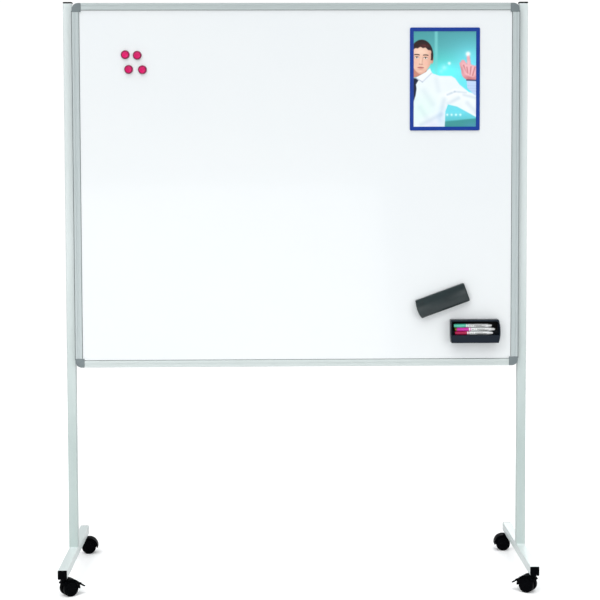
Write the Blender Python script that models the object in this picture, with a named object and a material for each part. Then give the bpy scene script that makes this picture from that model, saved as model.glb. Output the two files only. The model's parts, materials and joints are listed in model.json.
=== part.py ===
"""Rolling whiteboard: a fixed magnetic board between two posts on T feet, with four
twin-wheel castors, four magnets, a marker holder with its eraser lid, and a notice frame.

Metres, +Z up, +X to the right of someone facing the writing side, which looks along -Y.
The origin is on the floor, under the middle of the board.
"""

from math import asin, cos, degrees, pi, radians, sin

import bmesh
import bpy
from mathutils import Matrix, Vector

MM = 0.001
GAP = 0.3 * MM                 # kept between pieces that touch

# Stand
POST_SPACING = 1533 * MM       # between the centre lines of the posts
TUBE = 30 * MM                 # square tube of posts and feet
TUBE_WALL = 1.5 * MM
TUBE_CORNER = 2.5 * MM
FOOT_LENGTH = 600 * MM
FOOT_BOTTOM = 62.5 * MM
CAP_HEAD = 3 * MM              # plug head at a foot's end
POST_CAP_HEAD = 5 * MM
PLUG_DEPTH = 16 * MM
TOTAL_HEIGHT = 1945 * MM
CASTOR_INSET = 30 * MM         # castor stem to the end of its foot

# Board
BOARD_WIDTH = 1500 * MM
BOARD_BOTTOM = 715 * MM
BOARD_TOP = 1940 * MM
FRAME_FRONT = -34 * MM
FRAME_BACK = -9 * MM
RAIL_WIDTH = 24 * MM
PANEL_FRONT = -30 * MM
PANEL_BACK = -13 * MM
PANEL_EDGE = 10.5 * MM         # from the frame's outer edge to the panel's edge
PANEL_SHEET = 0.4 * MM         # steel on the front and on the back
CORNER = 30 * MM
CORNER_RADIUS = 21 * MM
CORNER_PROUD = 1 * MM

# Brackets between board and posts
BRACKET_HEIGHT = 60 * MM
BRACKET_STEEL = 2.5 * MM
BRACKET_LEVELS = {"lower": 880 * MM, "upper": 1760 * MM}
BOLT_Y = 3 * MM                # bracket bolt, behind the posts' centre line
SCREW_INSET = 15 * MM          # bracket screw, in from the frame's outer edge

# Castor, in its own frame: swivel axis at x = 0, wheels trailing towards +x
WHEEL_RADIUS = 25 * MM
WHEEL_WIDTH = 15.5 * MM
WHEEL_INNER = 5.5 * MM         # wheel's inner face to the castor's middle plane
TRAIL = 19 * MM
HOOD_OUTER = 32 * MM
HOOD_INNER = 26.6 * MM
HOOD_HALF = 21.5 * MM
HOOD_TOP = 56.5 * MM
AXLE_RADIUS = 3 * MM
PEDAL_PIVOT = (53.3 * MM, 37.2 * MM)
PEDAL_HALF = 12.6 * MM
CASTORS = {                    # side of X, side of Y, direction in which the wheels trail
    "front_left": (-1, -1, radians(34)),
    "front_right": (1, -1, radians(146)),
    "rear_left": (-1, 1, radians(3)),
    "rear_right": (1, 1, radians(177)),
}
BRAKED = ("front_left", "front_right")

# Things held on the board, by centre (x, z)
MAGNET_RADIUS = 15 * MM
MAGNET_HEIGHT = 8 * MM
MAGNETS = [
    (-573 * MM, 1768 * MM),
    (-533 * MM, 1766 * MM),
    (-562 * MM, 1719 * MM),
    (-516 * MM, 1718 * MM),
]
NOTICE_CENTRE = (499 * MM, 1685 * MM)
NOTICE_SIZE = (236 * MM, 345 * MM)
NOTICE_BAR = 13 * MM
NOTICE_THICK = 4 * MM
NOTICE_REBATE = 2 * MM         # depth of the rebate that takes the print, from the back
NOTICE_OVERLAP = 3 * MM        # the frame's lip over the print's edge
ERASER_CENTRE = (490 * MM, 937 * MM)
ERASER_SIZE = (180 * MM, 65 * MM)
ERASER_DEPTH = 28 * MM
ERASER_SHOULDER = 8 * MM       # straight side before the crown
ERASER_BOW = 6 * MM            # bulge of the left end
ERASER_TILT = radians(20)
FELT_THICK = 6 * MM
FELT_PROUD = 3 * MM            # felt that shows under the grip
HOLDER_CENTRE = (602 * MM, 835 * MM)
HOLDER_SIZE = (168 * MM, 78 * MM)
HOLDER_DEPTH = 36 * MM
HOLDER_WALL = 3 * MM
HOLDER_BOW = 6 * MM            # bulge of the right end
HOLDER_END = 4 * MM            # thickness of the right end
HOLDER_LID = 5 * MM            # wall above the pocket
POCKET_FLOOR = 26 * MM         # pocket floor above the holder's underside
RIB_DEPTH = 7.5 * MM           # rib on the pocket's back wall, under the rear marker
RIB_THICK = 2 * MM
MARKER_RADIUS = 6.1 * MM
MARKER_LENGTH = 129 * MM
MARKER_CAP = 41 * MM
MARKERS = {                    # row from the bottom, column from the front, left end from the holder's left
    "cyan": (2, 0, 11 * MM),
    "yellow": (1, 1, 16 * MM),
    "purple": (1, 0, 21 * MM),
    "red": (0, 0, 15 * MM),
}
MARKER_COLOURS = {"cyan": (0.02, 0.55, 0.50), "yellow": (0.85, 0.75, 0.08),
                  "purple": (0.35, 0.02, 0.42), "red": (0.75, 0.02, 0.16)}


def clear_scene():
    for item in list(bpy.data.objects):
        bpy.data.objects.remove(item, do_unlink=True)


def material(name, colour, roughness, metallic=0.0):
    made = bpy.data.materials.new(name)
    made.use_nodes = True
    shader = made.node_tree.nodes["Principled BSDF"]
    shader.inputs["Base Color"].default_value = (*colour, 1.0)
    shader.inputs["Roughness"].default_value = roughness
    shader.inputs["Metallic"].default_value = metallic
    return made


# Outlines: lists of (u, v) points, counter-clockwise

def arc(centre, radius, start, end, steps):
    """Points on an arc, angles in degrees, both ends included."""
    angles = [radians(start + (end - start) * step / steps) for step in range(steps + 1)]
    return [(centre[0] + radius * cos(a), centre[1] + radius * sin(a)) for a in angles]


def rectangle(u0, v0, u1, v1):
    return [(u0, v0), (u1, v0), (u1, v1), (u0, v1)]


def rounded(u0, v0, u1, v1, radius, steps=3):
    points = []
    for u, v, start in ((u1, v0, -90), (u1, v1, 0), (u0, v1, 90), (u0, v0, 180)):
        centre = (u - radius if u == u1 else u + radius, v - radius if v == v1 else v + radius)
        points += arc(centre, radius, start, start + 90, steps)
    return points


def hexagon(across_flats, turn=0):
    return arc((0, 0), across_flats / 2 / cos(pi / 6), turn, turn + 300, 5)


def circle(radius, steps, centre=(0, 0)):
    return arc(centre, radius, 0, 360 - 360 / steps, steps - 1)


# Solids: every function returns a bmesh whose faces point out

PLANES = {                     # where an outline's u, v and the extrusion go
    "x": lambda u, v, w: (w, u, v),
    "y": lambda u, v, w: (u, w, v),
    "z": lambda u, v, w: (u, v, w),
}


def prism(outline, axis, low, high):
    """An outline extruded along an axis from low to high."""
    solid = bmesh.new()
    place = PLANES[axis]
    base = solid.faces.new([solid.verts.new(place(u, v, low)) for u, v in outline])
    grown = bmesh.ops.extrude_face_region(solid, geom=[base])
    moved = [item for item in grown["geom"] if isinstance(item, bmesh.types.BMVert)]
    bmesh.ops.translate(solid, verts=moved, vec=Vector(place(0, 0, high - low)))
    bmesh.ops.recalc_face_normals(solid, faces=solid.faces)
    return solid


def tube(outer, inner, axis, low, high):
    """A hollow extrusion, open at both ends. The outlines have as many points as each other."""
    solid = bmesh.new()
    place = PLANES[axis]
    rings = [[solid.verts.new(place(u, v, w)) for u, v in outline]
             for outline, w in ((outer, low), (outer, high), (inner, high), (inner, low))]
    count = len(outer)
    for ring, following in zip(rings, rings[1:] + rings[:1]):
        for i in range(count):
            j = (i + 1) % count
            solid.faces.new((ring[i], ring[j], following[j], following[i]))
    bmesh.ops.recalc_face_normals(solid, faces=solid.faces)
    return solid


def turned(profile, steps, axis):
    """A profile of (radius, height) from the axis back to the axis, turned about the axis."""
    solid = bmesh.new()
    place = PLANES[axis]
    rings = []
    for radius, height in profile:
        if radius == 0:
            rings.append([solid.verts.new(place(0, 0, height))])
            continue
        angles = [2 * pi * step / steps for step in range(steps)]
        rings.append([solid.verts.new(place(radius * cos(a), radius * sin(a), height)) for a in angles])
    for ring, following in zip(rings, rings[1:]):
        for i in range(steps):
            j = (i + 1) % steps
            if len(ring) == 1:
                solid.faces.new((ring[0], following[i], following[j]))
            elif len(following) == 1:
                solid.faces.new((ring[i], ring[j], following[0]))
            else:
                solid.faces.new((ring[i], ring[j], following[j], following[i]))
    bmesh.ops.recalc_face_normals(solid, faces=solid.faces)
    return solid


def shaft(radius, axis, low, high, steps=16):
    return prism(circle(radius, steps), axis, low, high)


def shifted(solid, offset):
    bmesh.ops.translate(solid, verts=solid.verts, vec=Vector(offset))
    return solid


def piece(name, solid, finish, location=(0, 0, 0), parent=None, turn=None):
    """A named object made from a bmesh, which it uses up."""
    mesh = bpy.data.meshes.new(name)
    solid.to_mesh(mesh)
    solid.free()
    mesh.materials.append(finish)
    mesh.shade_smooth()
    mesh.set_sharp_from_angle(angle=radians(35))
    made = bpy.data.objects.new(name, mesh)
    made.location = location
    if turn is not None:
        made.rotation_euler = turn
    made.parent = parent
    bpy.context.scene.collection.objects.link(made)
    return made


def combine(target, solid, operation):
    """Add or cut a solid, given in the target's own coordinates."""
    helper = piece(f"{target.name}.tool{len(target.modifiers)}", solid, target.data.materials[0],
                   target.location, target.parent, target.rotation_euler)
    helper.hide_render = True
    helper.display_type = "WIRE"
    change = target.modifiers.new(helper.name, "BOOLEAN")
    change.operation = operation
    change.solver = "EXACT"
    change.object = helper


def cut(target, solid):
    combine(target, solid, "DIFFERENCE")


def add(target, solid):
    combine(target, solid, "UNION")


def empty(name, location, turn):
    made = bpy.data.objects.new(name, None)
    made.location = location
    made.rotation_euler = (0, 0, turn)
    bpy.context.scene.collection.objects.link(made)
    return made


# Stand

def tube_outlines():
    half = TUBE / 2
    inside = half - TUBE_WALL
    outer = rounded(-half, -half, half, half, TUBE_CORNER, 2)
    inner = rounded(-inside, -inside, inside, inside, TUBE_CORNER - TUBE_WALL, 2)
    return outer, inner


def plug(name, finish, head, axis, end, direction, centre):
    """A tube's end plug: a flat head and a hollow shank that fits in the tube."""
    half = TUBE / 2
    shank = half - TUBE_WALL - GAP
    outline = rounded(-half, -half, half, half, TUBE_CORNER, 2)
    low, high = sorted((end, end + direction * head))
    made = piece(name, prism(outline, axis, low, high), finish, centre)
    inside = shank - 2 * MM
    overlap = head / 2
    low, high = sorted((end + direction * overlap, end - direction * PLUG_DEPTH))
    add(made, prism(rectangle(-shank, -shank, shank, shank), axis, low, high))
    low, high = sorted((end, end - direction * (PLUG_DEPTH + 1 * MM)))
    cut(made, prism(rectangle(-inside, -inside, inside, inside), axis, low, high))
    return made


def post(side, sign, steel, black):
    outer, inner = tube_outlines()
    low = FOOT_BOTTOM + TUBE + GAP
    high = TOTAL_HEIGHT - POST_CAP_HEAD
    made = piece(f"post_{side}", tube(outer, inner, "z", low, high), steel,
                 (sign * POST_SPACING / 2, 0, 0))
    for level in BRACKET_LEVELS.values():
        hole = shaft(3.4 * MM, "x", -TUBE / 2 - 1 * MM, -TUBE / 2 + TUBE_WALL + 2 * MM, 12)
        if sign < 0:
            bmesh.ops.transform(hole, matrix=Matrix.Rotation(pi, 4, "Z"), verts=hole.verts)
        cut(made, shifted(hole, (0, BOLT_Y, level)))
    plug(f"post_cap_{side}", black, POST_CAP_HEAD - GAP, "z", high + GAP, 1,
         (sign * POST_SPACING / 2, 0, 0))


def foot(side, sign, steel, black):
    outer, inner = tube_outlines()
    reach = FOOT_LENGTH / 2 - CAP_HEAD - GAP
    centre = (sign * POST_SPACING / 2, 0, FOOT_BOTTOM + TUBE / 2)
    made = piece(f"foot_{side}", tube(outer, inner, "y", -reach, reach), steel, centre)
    for end in (-1, 1):
        hole = shaft(5.1 * MM, "z", -TUBE / 2 - 1 * MM, -TUBE / 2 + TUBE_WALL + 2 * MM)
        cut(made, shifted(hole, (0, end * (FOOT_LENGTH / 2 - CASTOR_INSET), 0)))
    plug(f"foot_plug_{side}_front", black, CAP_HEAD, "y", -reach - GAP, -1, centre)
    plug(f"foot_plug_{side}_rear", black, CAP_HEAD, "y", reach + GAP, 1, centre)


# Board

def rail_profile():
    """Section of a rail: u runs inwards from the frame's outer edge, v along +Y from the front."""
    front, back = FRAME_FRONT, FRAME_BACK
    lip = PANEL_FRONT - GAP
    tail = PANEL_BACK + GAP
    inner = 9.8 * MM
    return [(0, front + 2 * MM), (2 * MM, front), (7 * MM, front), (8.5 * MM, front + 1.2 * MM),
            (17 * MM, front + 1.2 * MM), (18.5 * MM, front), (RAIL_WIDTH - 1.5 * MM, front),
            (RAIL_WIDTH, front + 1.5 * MM), (RAIL_WIDTH, lip), (inner, lip), (inner, tail),
            (20 * MM, tail), (20 * MM, back), (0, back)]


def chamber(grow=0.0):
    """The rail's hollow, which takes a corner's leg. grow is negative for the leg."""
    return rectangle(2 * MM - grow, -30 * MM - grow, 8 * MM + grow, -11.5 * MM + grow)


def frame_rails(aluminium):
    length_x = BOARD_WIDTH - 2 * (CORNER + GAP)
    length_z = BOARD_TOP - BOARD_BOTTOM - 2 * (CORNER + GAP)
    middle = (BOARD_TOP + BOARD_BOTTOM) / 2
    half = BOARD_WIDTH / 2
    # The side rails stand along Z, and the right one is a turned mirror of the left one
    for side, sign in (("left", -1), ("right", 1)):
        outline = [(sign * (half - u), v) for u, v in rail_profile()]
        made = piece(f"rail_{side}", prism(outline, "z", -length_z / 2, length_z / 2), aluminium,
                     (0, 0, middle))
        cut(made, prism([(sign * (half - u), v) for u, v in chamber()], "z", -length_z, length_z))
        for level in BRACKET_LEVELS.values():
            hole = shaft(2.2 * MM, "y", FRAME_BACK - 6 * MM, FRAME_BACK + 1 * MM, 10)
            cut(made, shifted(hole, (sign * (half - SCREW_INSET), 0, level - middle)))
    for side, edge, sign in (("bottom", BOARD_BOTTOM, 1), ("top", BOARD_TOP, -1)):
        solid = prism([(v, sign * u) for u, v in rail_profile()], "x", -length_x / 2, length_x / 2)
        made = piece(f"rail_{side}", solid, aluminium, (0, 0, edge))
        cut(made, prism([(v, sign * u) for u, v in chamber()], "x", -length_x, length_x))


def frame_corners(plastic):
    """Corner caps: a rounded front over the rails' ends, and two legs inside the rails."""
    half = BOARD_WIDTH / 2
    front = FRAME_FRONT - CORNER_PROUD
    back = FRAME_BACK + CORNER_PROUD
    leg_end = CORNER + 18 * MM
    for level, z, up in (("lower", BOARD_BOTTOM, 1), ("upper", BOARD_TOP, -1)):
        for side, sign in (("left", -1), ("right", 1)):
            def at(u, v):
                return (sign * (half - u), z + up * v)
            bend = [(CORNER_RADIUS - CORNER_RADIUS * cos(radians(a)),
                     CORNER_RADIUS - CORNER_RADIUS * sin(radians(a))) for a in range(0, 91, 15)]
            outline = [at(u, v) for u, v in [(0, CORNER), *bend, (CORNER, 0), (CORNER, CORNER)]]
            solid = prism(outline, "y", front, back)
            made = piece(f"corner_{level}_{side}", solid, plastic)
            inner = PANEL_EDGE - GAP
            far = CORNER + 2 * MM
            notch = [at(inner, inner), at(far, inner), at(far, far), at(inner, far)]
            cut(made, prism(notch, "y", PANEL_FRONT - GAP, back + 1 * MM))
            (u0, v0), _, (u1, v1), _ = chamber(-GAP)
            start = CORNER - 2 * MM
            legs = ([at(u0, start), at(u1, start), at(u1, leg_end), at(u0, leg_end)],
                    [at(start, u0), at(leg_end, u0), at(leg_end, u1), at(start, u1)])
            for leg in legs:
                add(made, prism(leg, "y", v0, v1))


def panel(steel, card, zinc):
    """Enamelled steel sheet, honeycomb card core and zinc-coated backing sheet."""
    edge = PANEL_EDGE
    sheet = PANEL_SHEET
    layers = (("writing_sheet", steel, PANEL_FRONT, PANEL_FRONT + sheet),
              ("panel_core", card, PANEL_FRONT + sheet + GAP, PANEL_BACK - sheet - GAP),
              ("backing_sheet", zinc, PANEL_BACK - sheet, PANEL_BACK))
    half = BOARD_WIDTH / 2 - edge
    for name, finish, front, back in layers:
        outline = rectangle(-half, BOARD_BOTTOM + edge, half, BOARD_TOP - edge)
        piece(name, prism(outline, "y", front, back), finish)


def brackets(zinc):
    """Steel angles from the posts' inner faces to the frame's back, with their captive bolts."""
    inner_face = POST_SPACING / 2 - TUBE / 2 - GAP
    back = FRAME_BACK + GAP
    tip = 14 * MM
    reach = inner_face - 26 * MM
    for level, height in BRACKET_LEVELS.items():
        for side, sign in (("left", -1), ("right", 1)):
            low, high = height - BRACKET_HEIGHT / 2, height + BRACKET_HEIGHT / 2
            outline = [(inner_face, back), (inner_face, tip), (inner_face - BRACKET_STEEL, tip),
                       (inner_face - BRACKET_STEEL, back + BRACKET_STEEL),
                       (reach, back + BRACKET_STEEL), (reach, back)]
            flipped = [(sign * u, v) for u, v in outline]
            made = piece(f"bracket_{level}_{side}", prism(flipped, "z", low, high), zinc)
            head = inner_face - BRACKET_STEEL
            bolt = ((5.5 * MM, head + 0.5 * MM, head - 3.5 * MM),
                    (3 * MM, head + 0.5 * MM, inner_face + GAP + TUBE_WALL + 3 * MM))
            for radius, start, end in bolt:
                span = sorted((sign * start, sign * end))
                add(made, shifted(shaft(radius, "x", *span, steps=12), (0, BOLT_Y, height)))
            face = back + BRACKET_STEEL
            screw = ((4 * MM, face - 0.5 * MM, face + 2 * MM),
                     (1.8 * MM, FRAME_BACK - 3 * MM, back + 0.5 * MM))
            for radius, start, end in screw:
                place = (sign * (BOARD_WIDTH / 2 - SCREW_INSET), 0, height)
                add(made, shifted(shaft(radius, "y", start, end, 12), place))


# Castors

def castor_stem(name, mount, zinc):
    """Swivel pin with a hexagon collar under the foot and a threaded end inside it."""
    collar = hexagon(17 * MM)
    made = piece(name, prism(collar, "z", HOOD_TOP + GAP, FOOT_BOTTOM - GAP), zinc, parent=mount)
    add(made, shaft(3.5 * MM, "z", 39 * MM, HOOD_TOP + 1 * MM))
    add(made, shaft(4.6 * MM, "z", FOOT_BOTTOM - 1 * MM, FOOT_BOTTOM + 20 * MM))


def castor_hood(name, mount, braked, plastic):
    axle = (TRAIL, WHEEL_RADIUS)
    arch = arc(axle, HOOD_OUTER, -4, 150, 16) + arc(axle, HOOD_INNER, 150, -4, 12)
    made = piece(name, prism(arch, "y", -HOOD_HALF, HOOD_HALF), plastic, parent=mount)
    web = arc(axle, HOOD_INNER + 1 * MM, 4, 145, 10) + arc(axle, 7 * MM, 190, 335, 6)
    add(made, prism(web, "y", -WHEEL_INNER + 0.8 * MM, WHEEL_INNER - 0.8 * MM))
    add(made, shaft(7.2 * MM, "z", 47 * MM, HOOD_TOP, 20))
    add(made, shaft(4.7 * MM, "z", 36 * MM, 48 * MM, 20))
    cut(made, shaft(3.8 * MM, "z", 38 * MM, HOOD_TOP + 1 * MM))
    cut(made, shifted(shaft(AXLE_RADIUS + 0.05 * MM, "y", -8 * MM, 8 * MM), (axle[0], 0, axle[1])))
    if braked:
        px, pz = PEDAL_PIVOT
        window = rectangle(px - 12 * MM, 15 * MM, px + 9 * MM, pz + 1 * MM)
        cut(made, prism(window, "y", -PEDAL_HALF - 0.8 * MM, PEDAL_HALF + 0.8 * MM))
        eye = arc(PEDAL_PIVOT, 3.8 * MM, -82, 98, 6)
        ear = [(px - 8.6 * MM, pz - 4.3 * MM), *eye, (px - 7.2 * MM, pz + 4.6 * MM)]
        for low, high in ((-16.5, -13.2), (13.2, 16.5)):
            add(made, prism(ear, "y", low * MM, high * MM))
        cut(made, shifted(shaft(1.9 * MM, "y", -18 * MM, 18 * MM, 12), (px, 0, pz)))
    return made


def castor_axle(name, mount, zinc):
    reach = WHEEL_INNER + 12 * MM
    piece(name, shaft(AXLE_RADIUS, "y", -reach, reach), zinc, (TRAIL, 0, WHEEL_RADIUS), mount)


def castor_wheel(name, mount, side, tyre):
    """A wheel with a blind bore, turned about its own axle line."""
    r, w = WHEEL_RADIUS, WHEEL_WIDTH
    bore = AXLE_RADIUS + 0.35 * MM
    depth = 12.6 * MM
    profile = [(0, depth), (bore, depth), (bore, 0), (7 * MM, 0), (8 * MM, 1.5 * MM),
               (19 * MM, 1.5 * MM), (20 * MM, 0), (r - 2 * MM, 0), (r, 2 * MM), (r, w - 3 * MM),
               (r - 1.2 * MM, w - 0.8 * MM), (r - 3 * MM, w), (r - 5 * MM, w - 1.2 * MM),
               (9 * MM, w - 1.2 * MM), (7.5 * MM, w), (0, w)]
    placed = [(radius, side * (height + WHEEL_INNER)) for radius, height in profile]
    piece(name, turned(placed, 24, "y"), tyre, (TRAIL, 0, WHEEL_RADIUS), mount)


def brake_pedal(name, mount, plastic):
    """Foot pedal with a barrel, two stub pins in the hood's ears, and a toe over the treads."""
    pad = [(-2.6, 1.4), (-0.4, 2.9), (2.5, 2.1), (8.3, -4.3), (15.6, -8.4), (18.5, -11.6),
           (17.1, -13.3), (11.8, -11.7), (6.5, -8)]
    toe = [(2.3, -3.6), (-1.4, -4.3), (-5.9, -8.6), (-8.4, -7), (-8.9, -5.3), (-4, -2.2)]
    outline = [(u * MM, v * MM) for u, v in pad + toe]
    location = (PEDAL_PIVOT[0], 0, PEDAL_PIVOT[1])
    made = piece(name, prism(outline, "y", -PEDAL_HALF, PEDAL_HALF), plastic, location, mount)
    add(made, shaft(1.5 * MM, "y", -PEDAL_HALF - 3 * MM, PEDAL_HALF + 3 * MM, 12))


def castor(name, side_x, side_y, heading, black, tyre, zinc):
    place = (side_x * POST_SPACING / 2, side_y * (FOOT_LENGTH / 2 - CASTOR_INSET), 0)
    mount = empty(f"castor_{name}", place, heading)
    castor_stem(f"castor_{name}_stem", mount, zinc)
    castor_hood(f"castor_{name}_hood", mount, name in BRAKED, black)
    castor_axle(f"castor_{name}_axle", mount, zinc)
    castor_wheel(f"castor_{name}_wheel_a", mount, -1, tyre)
    castor_wheel(f"castor_{name}_wheel_b", mount, 1, tyre)
    if name in BRAKED:
        brake_pedal(f"castor_{name}_pedal", mount, black)


# Things held on the board

def magnet(number, centre, plastic):
    """Round magnet with a dished face."""
    back = PANEL_FRONT - GAP
    r, h = MAGNET_RADIUS, MAGNET_HEIGHT
    profile = [(0, 0), (r - 0.6 * MM, 0), (r, 0.6 * MM), (r, h - 2.2 * MM),
               (r - 0.8 * MM, h - 0.6 * MM), (r - 2 * MM, h), (r - 3.4 * MM, h - 0.6 * MM),
               (r - 6 * MM, h - 1.4 * MM), (0, h - 1.8 * MM)]
    placed = [(radius, -height) for radius, height in profile]
    piece(f"magnet_{number}", turned(placed, 28, "y"), plastic, (centre[0], back, centre[1]))


def notice_frame(blue, paper):
    width, height = NOTICE_SIZE
    back = PANEL_FRONT - GAP
    place = (NOTICE_CENTRE[0], 0, NOTICE_CENTRE[1])
    front = back - NOTICE_THICK
    rebate = back - NOTICE_REBATE
    w, h = width / 2, height / 2
    made = piece("notice_frame", prism(rounded(-w, -h, w, h, 5 * MM), "y", front, back), blue, place)
    w, h = width / 2 - NOTICE_BAR, height / 2 - NOTICE_BAR
    cut(made, prism(rectangle(-w, -h, w, h), "y", front - 1 * MM, back + 1 * MM))
    w, h = w + NOTICE_OVERLAP, h + NOTICE_OVERLAP
    cut(made, prism(rectangle(-w, -h, w, h), "y", rebate, back + 2 * MM))
    w, h = w - GAP, h - GAP
    sheet = prism(rectangle(-w, -h, w, h), "y", rebate + GAP, rebate + 3 * GAP)
    piece("notice_print", sheet, paper, place)


def eraser(plastic, felt_grey):
    """An arched grip with a bowed left end and a felt pad let into its underside."""
    length, width = ERASER_SIZE
    half = width / 2
    back = PANEL_FRONT - GAP
    base = back - FELT_PROUD
    shoulder = base - ERASER_SHOULDER
    rise = ERASER_DEPTH - FELT_PROUD - ERASER_SHOULDER
    place = (ERASER_CENTRE[0], 0, ERASER_CENTRE[1])
    turn = (0, -ERASER_TILT, 0)
    crown = [(shoulder - rise * sin(radians(a)), half * cos(radians(a))) for a in range(10, 171, 16)]
    section = [(base, -half), (base, half), (shoulder, half), *crown, (shoulder, -half)]
    made = piece("eraser_grip", prism(section, "x", -length / 2, length / 2), plastic, place, turn=turn)
    bow_radius = (half ** 2 + ERASER_BOW ** 2) / (2 * ERASER_BOW)
    bow_angle = degrees(asin(half / bow_radius))
    bow = arc((-length / 2 + bow_radius, 0), bow_radius, 180 - bow_angle, 180 + bow_angle, 8)
    plan = [*bow, (length / 2 + 1 * MM, -half), (length / 2 + 1 * MM, half)]
    combine(made, prism(plan, "y", back - ERASER_DEPTH - 1 * MM, back), "INTERSECT")
    w, h = length / 2 - 12 * MM, half - 4 * MM
    cut(made, prism(rectangle(-w, -h, w, h), "y", base - 5 * MM, base + 1 * MM))
    w, h = w - 0.5 * MM, h - 0.5 * MM
    felt = prism(rounded(-w, -h, w, h, 3 * MM), "y", back - FELT_THICK, back)
    piece("eraser_felt", felt, felt_grey, place, turn=turn)


def bowed_edge(inset, low, high):
    """Right edge of the holder's front view, drawn in by an inset, from one height to another."""
    w, h = HOLDER_SIZE[0] / 2, HOLDER_SIZE[1] / 2
    heights = [low + (high - low) * step / 8 for step in range(9)]
    return [(w - inset - HOLDER_BOW * (z / h) ** 2, z) for z in heights]


def marker_holder(plastic):
    """Tray with an open pocket above and a hollow behind its lower front."""
    back = PANEL_FRONT - GAP
    front = back - HOLDER_DEPTH
    place = (HOLDER_CENTRE[0], 0, HOLDER_CENTRE[1])
    w, h = HOLDER_SIZE[0] / 2, HOLDER_SIZE[1] / 2
    outline = [(-w, -h + 3 * MM), (-w + 3 * MM, -h), *bowed_edge(0, -h, h), (-w, h)]
    made = piece("marker_holder", prism(outline, "y", front, back), plastic, place)
    floor, top = -h + POCKET_FLOOR, h - HOLDER_LID
    pocket = [(-w + HOLDER_WALL, top), (-w + HOLDER_WALL, floor), *bowed_edge(HOLDER_END, floor, top)]
    cut(made, prism(pocket, "y", front - 1 * MM, back - HOLDER_WALL))
    ledge = floor - 2.5 * MM
    end = w - HOLDER_BOW - HOLDER_END
    recess = rectangle(-w + 2 * HOLDER_WALL, -h + HOLDER_WALL, end, ledge)
    cut(made, prism(recess, "y", front + HOLDER_WALL, back + 1 * MM))
    level = floor + 2 * (MARKER_RADIUS + GAP)
    rib = rectangle(-w + 24 * MM, level - RIB_THICK, w - 24 * MM, level)
    add(made, prism(rib, "y", back - HOLDER_WALL - RIB_DEPTH, back - HOLDER_WALL + 0.5 * MM))


def markers():
    """Capped markers lying in the pocket: three in front, one above another, and one behind them."""
    corner = (HOLDER_CENTRE[0] - HOLDER_SIZE[0] / 2, HOLDER_CENTRE[1] - HOLDER_SIZE[1] / 2)
    floor = corner[1] + POCKET_FLOOR
    rear = PANEL_FRONT - GAP - HOLDER_WALL - GAP - MARKER_RADIUS
    pitch = 2 * (MARKER_RADIUS + GAP)
    r, length = MARKER_RADIUS, MARKER_LENGTH
    barrel = r - 0.8 * MM
    profile = [(0, 0), (r - 1.6 * MM, 0), (r, 1.6 * MM), (r, MARKER_CAP), (barrel, MARKER_CAP + 1 * MM),
               (barrel, length - 13 * MM), (r - 2.6 * MM, length - 3 * MM),
               (r - 3.4 * MM, length), (0, length)]
    for name, (row, column, start) in MARKERS.items():
        finish = material(f"marker_{name}", MARKER_COLOURS[name], 0.35)
        height = floor + GAP + MARKER_RADIUS + row * pitch
        depth = rear - (1 - column) * pitch
        piece(f"marker_{name}", turned(profile, 16, "x"), finish, (corner[0] + start, depth, height))


def build():
    clear_scene()
    silver = material("silver_paint", (0.66, 0.71, 0.69), 0.35, 0.3)
    aluminium = material("anodised_aluminium", (0.70, 0.73, 0.73), 0.3, 0.9)
    enamel = material("white_enamel", (0.93, 0.95, 0.97), 0.12)
    card = material("honeycomb_card", (0.50, 0.38, 0.26), 0.85)
    zinc = material("zinc", (0.62, 0.64, 0.66), 0.35, 0.9)
    grey = material("grey_plastic", (0.21, 0.26, 0.27), 0.45)
    black = material("black_plastic", (0.012, 0.013, 0.016), 0.35)
    tyre = material("black_nylon", (0.015, 0.016, 0.019), 0.4)
    raspberry = material("raspberry_plastic", (0.62, 0.02, 0.11), 0.3)
    blue = material("blue_plastic", (0.01, 0.10, 0.36), 0.35)
    paper = material("print_paper", (0.03, 0.45, 0.50), 0.6)
    slate = material("slate_plastic", (0.04, 0.055, 0.06), 0.35)
    felt = material("felt", (0.10, 0.10, 0.11), 0.95)
    for side, sign in (("left", -1), ("right", 1)):
        post(side, sign, silver, black)
        foot(side, sign, silver, black)
    frame_rails(aluminium)
    frame_corners(grey)
    panel(enamel, card, zinc)
    brackets(zinc)
    for name, (side_x, side_y, heading) in CASTORS.items():
        castor(name, side_x, side_y, heading, black, tyre, zinc)
    for number, centre in enumerate(MAGNETS, 1):
        magnet(number, centre, raspberry)
    notice_frame(blue, paper)
    eraser(slate, felt)
    marker_holder(slate)
    markers()


build()
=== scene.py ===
import json
from math import cos, pi, radians, sin

import bmesh
import bpy
import numpy as np
from mathutils import Matrix, Vector


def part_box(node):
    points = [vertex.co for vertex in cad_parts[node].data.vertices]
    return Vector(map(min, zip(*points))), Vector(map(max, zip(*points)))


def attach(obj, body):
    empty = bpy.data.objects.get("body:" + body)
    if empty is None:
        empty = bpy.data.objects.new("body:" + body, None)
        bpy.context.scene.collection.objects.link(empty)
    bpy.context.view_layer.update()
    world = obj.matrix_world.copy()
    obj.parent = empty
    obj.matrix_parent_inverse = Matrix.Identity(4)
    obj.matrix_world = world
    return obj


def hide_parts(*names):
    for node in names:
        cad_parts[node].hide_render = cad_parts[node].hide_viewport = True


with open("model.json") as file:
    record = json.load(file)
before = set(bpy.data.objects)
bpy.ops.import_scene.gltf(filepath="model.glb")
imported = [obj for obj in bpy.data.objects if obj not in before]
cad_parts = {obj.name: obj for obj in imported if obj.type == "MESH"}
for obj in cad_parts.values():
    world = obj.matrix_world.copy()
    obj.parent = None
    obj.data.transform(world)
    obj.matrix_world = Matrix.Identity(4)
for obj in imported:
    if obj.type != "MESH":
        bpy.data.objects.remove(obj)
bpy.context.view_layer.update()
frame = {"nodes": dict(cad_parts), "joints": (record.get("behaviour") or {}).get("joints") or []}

MM = 0.001
STAND = "stand_and_board"

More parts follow.
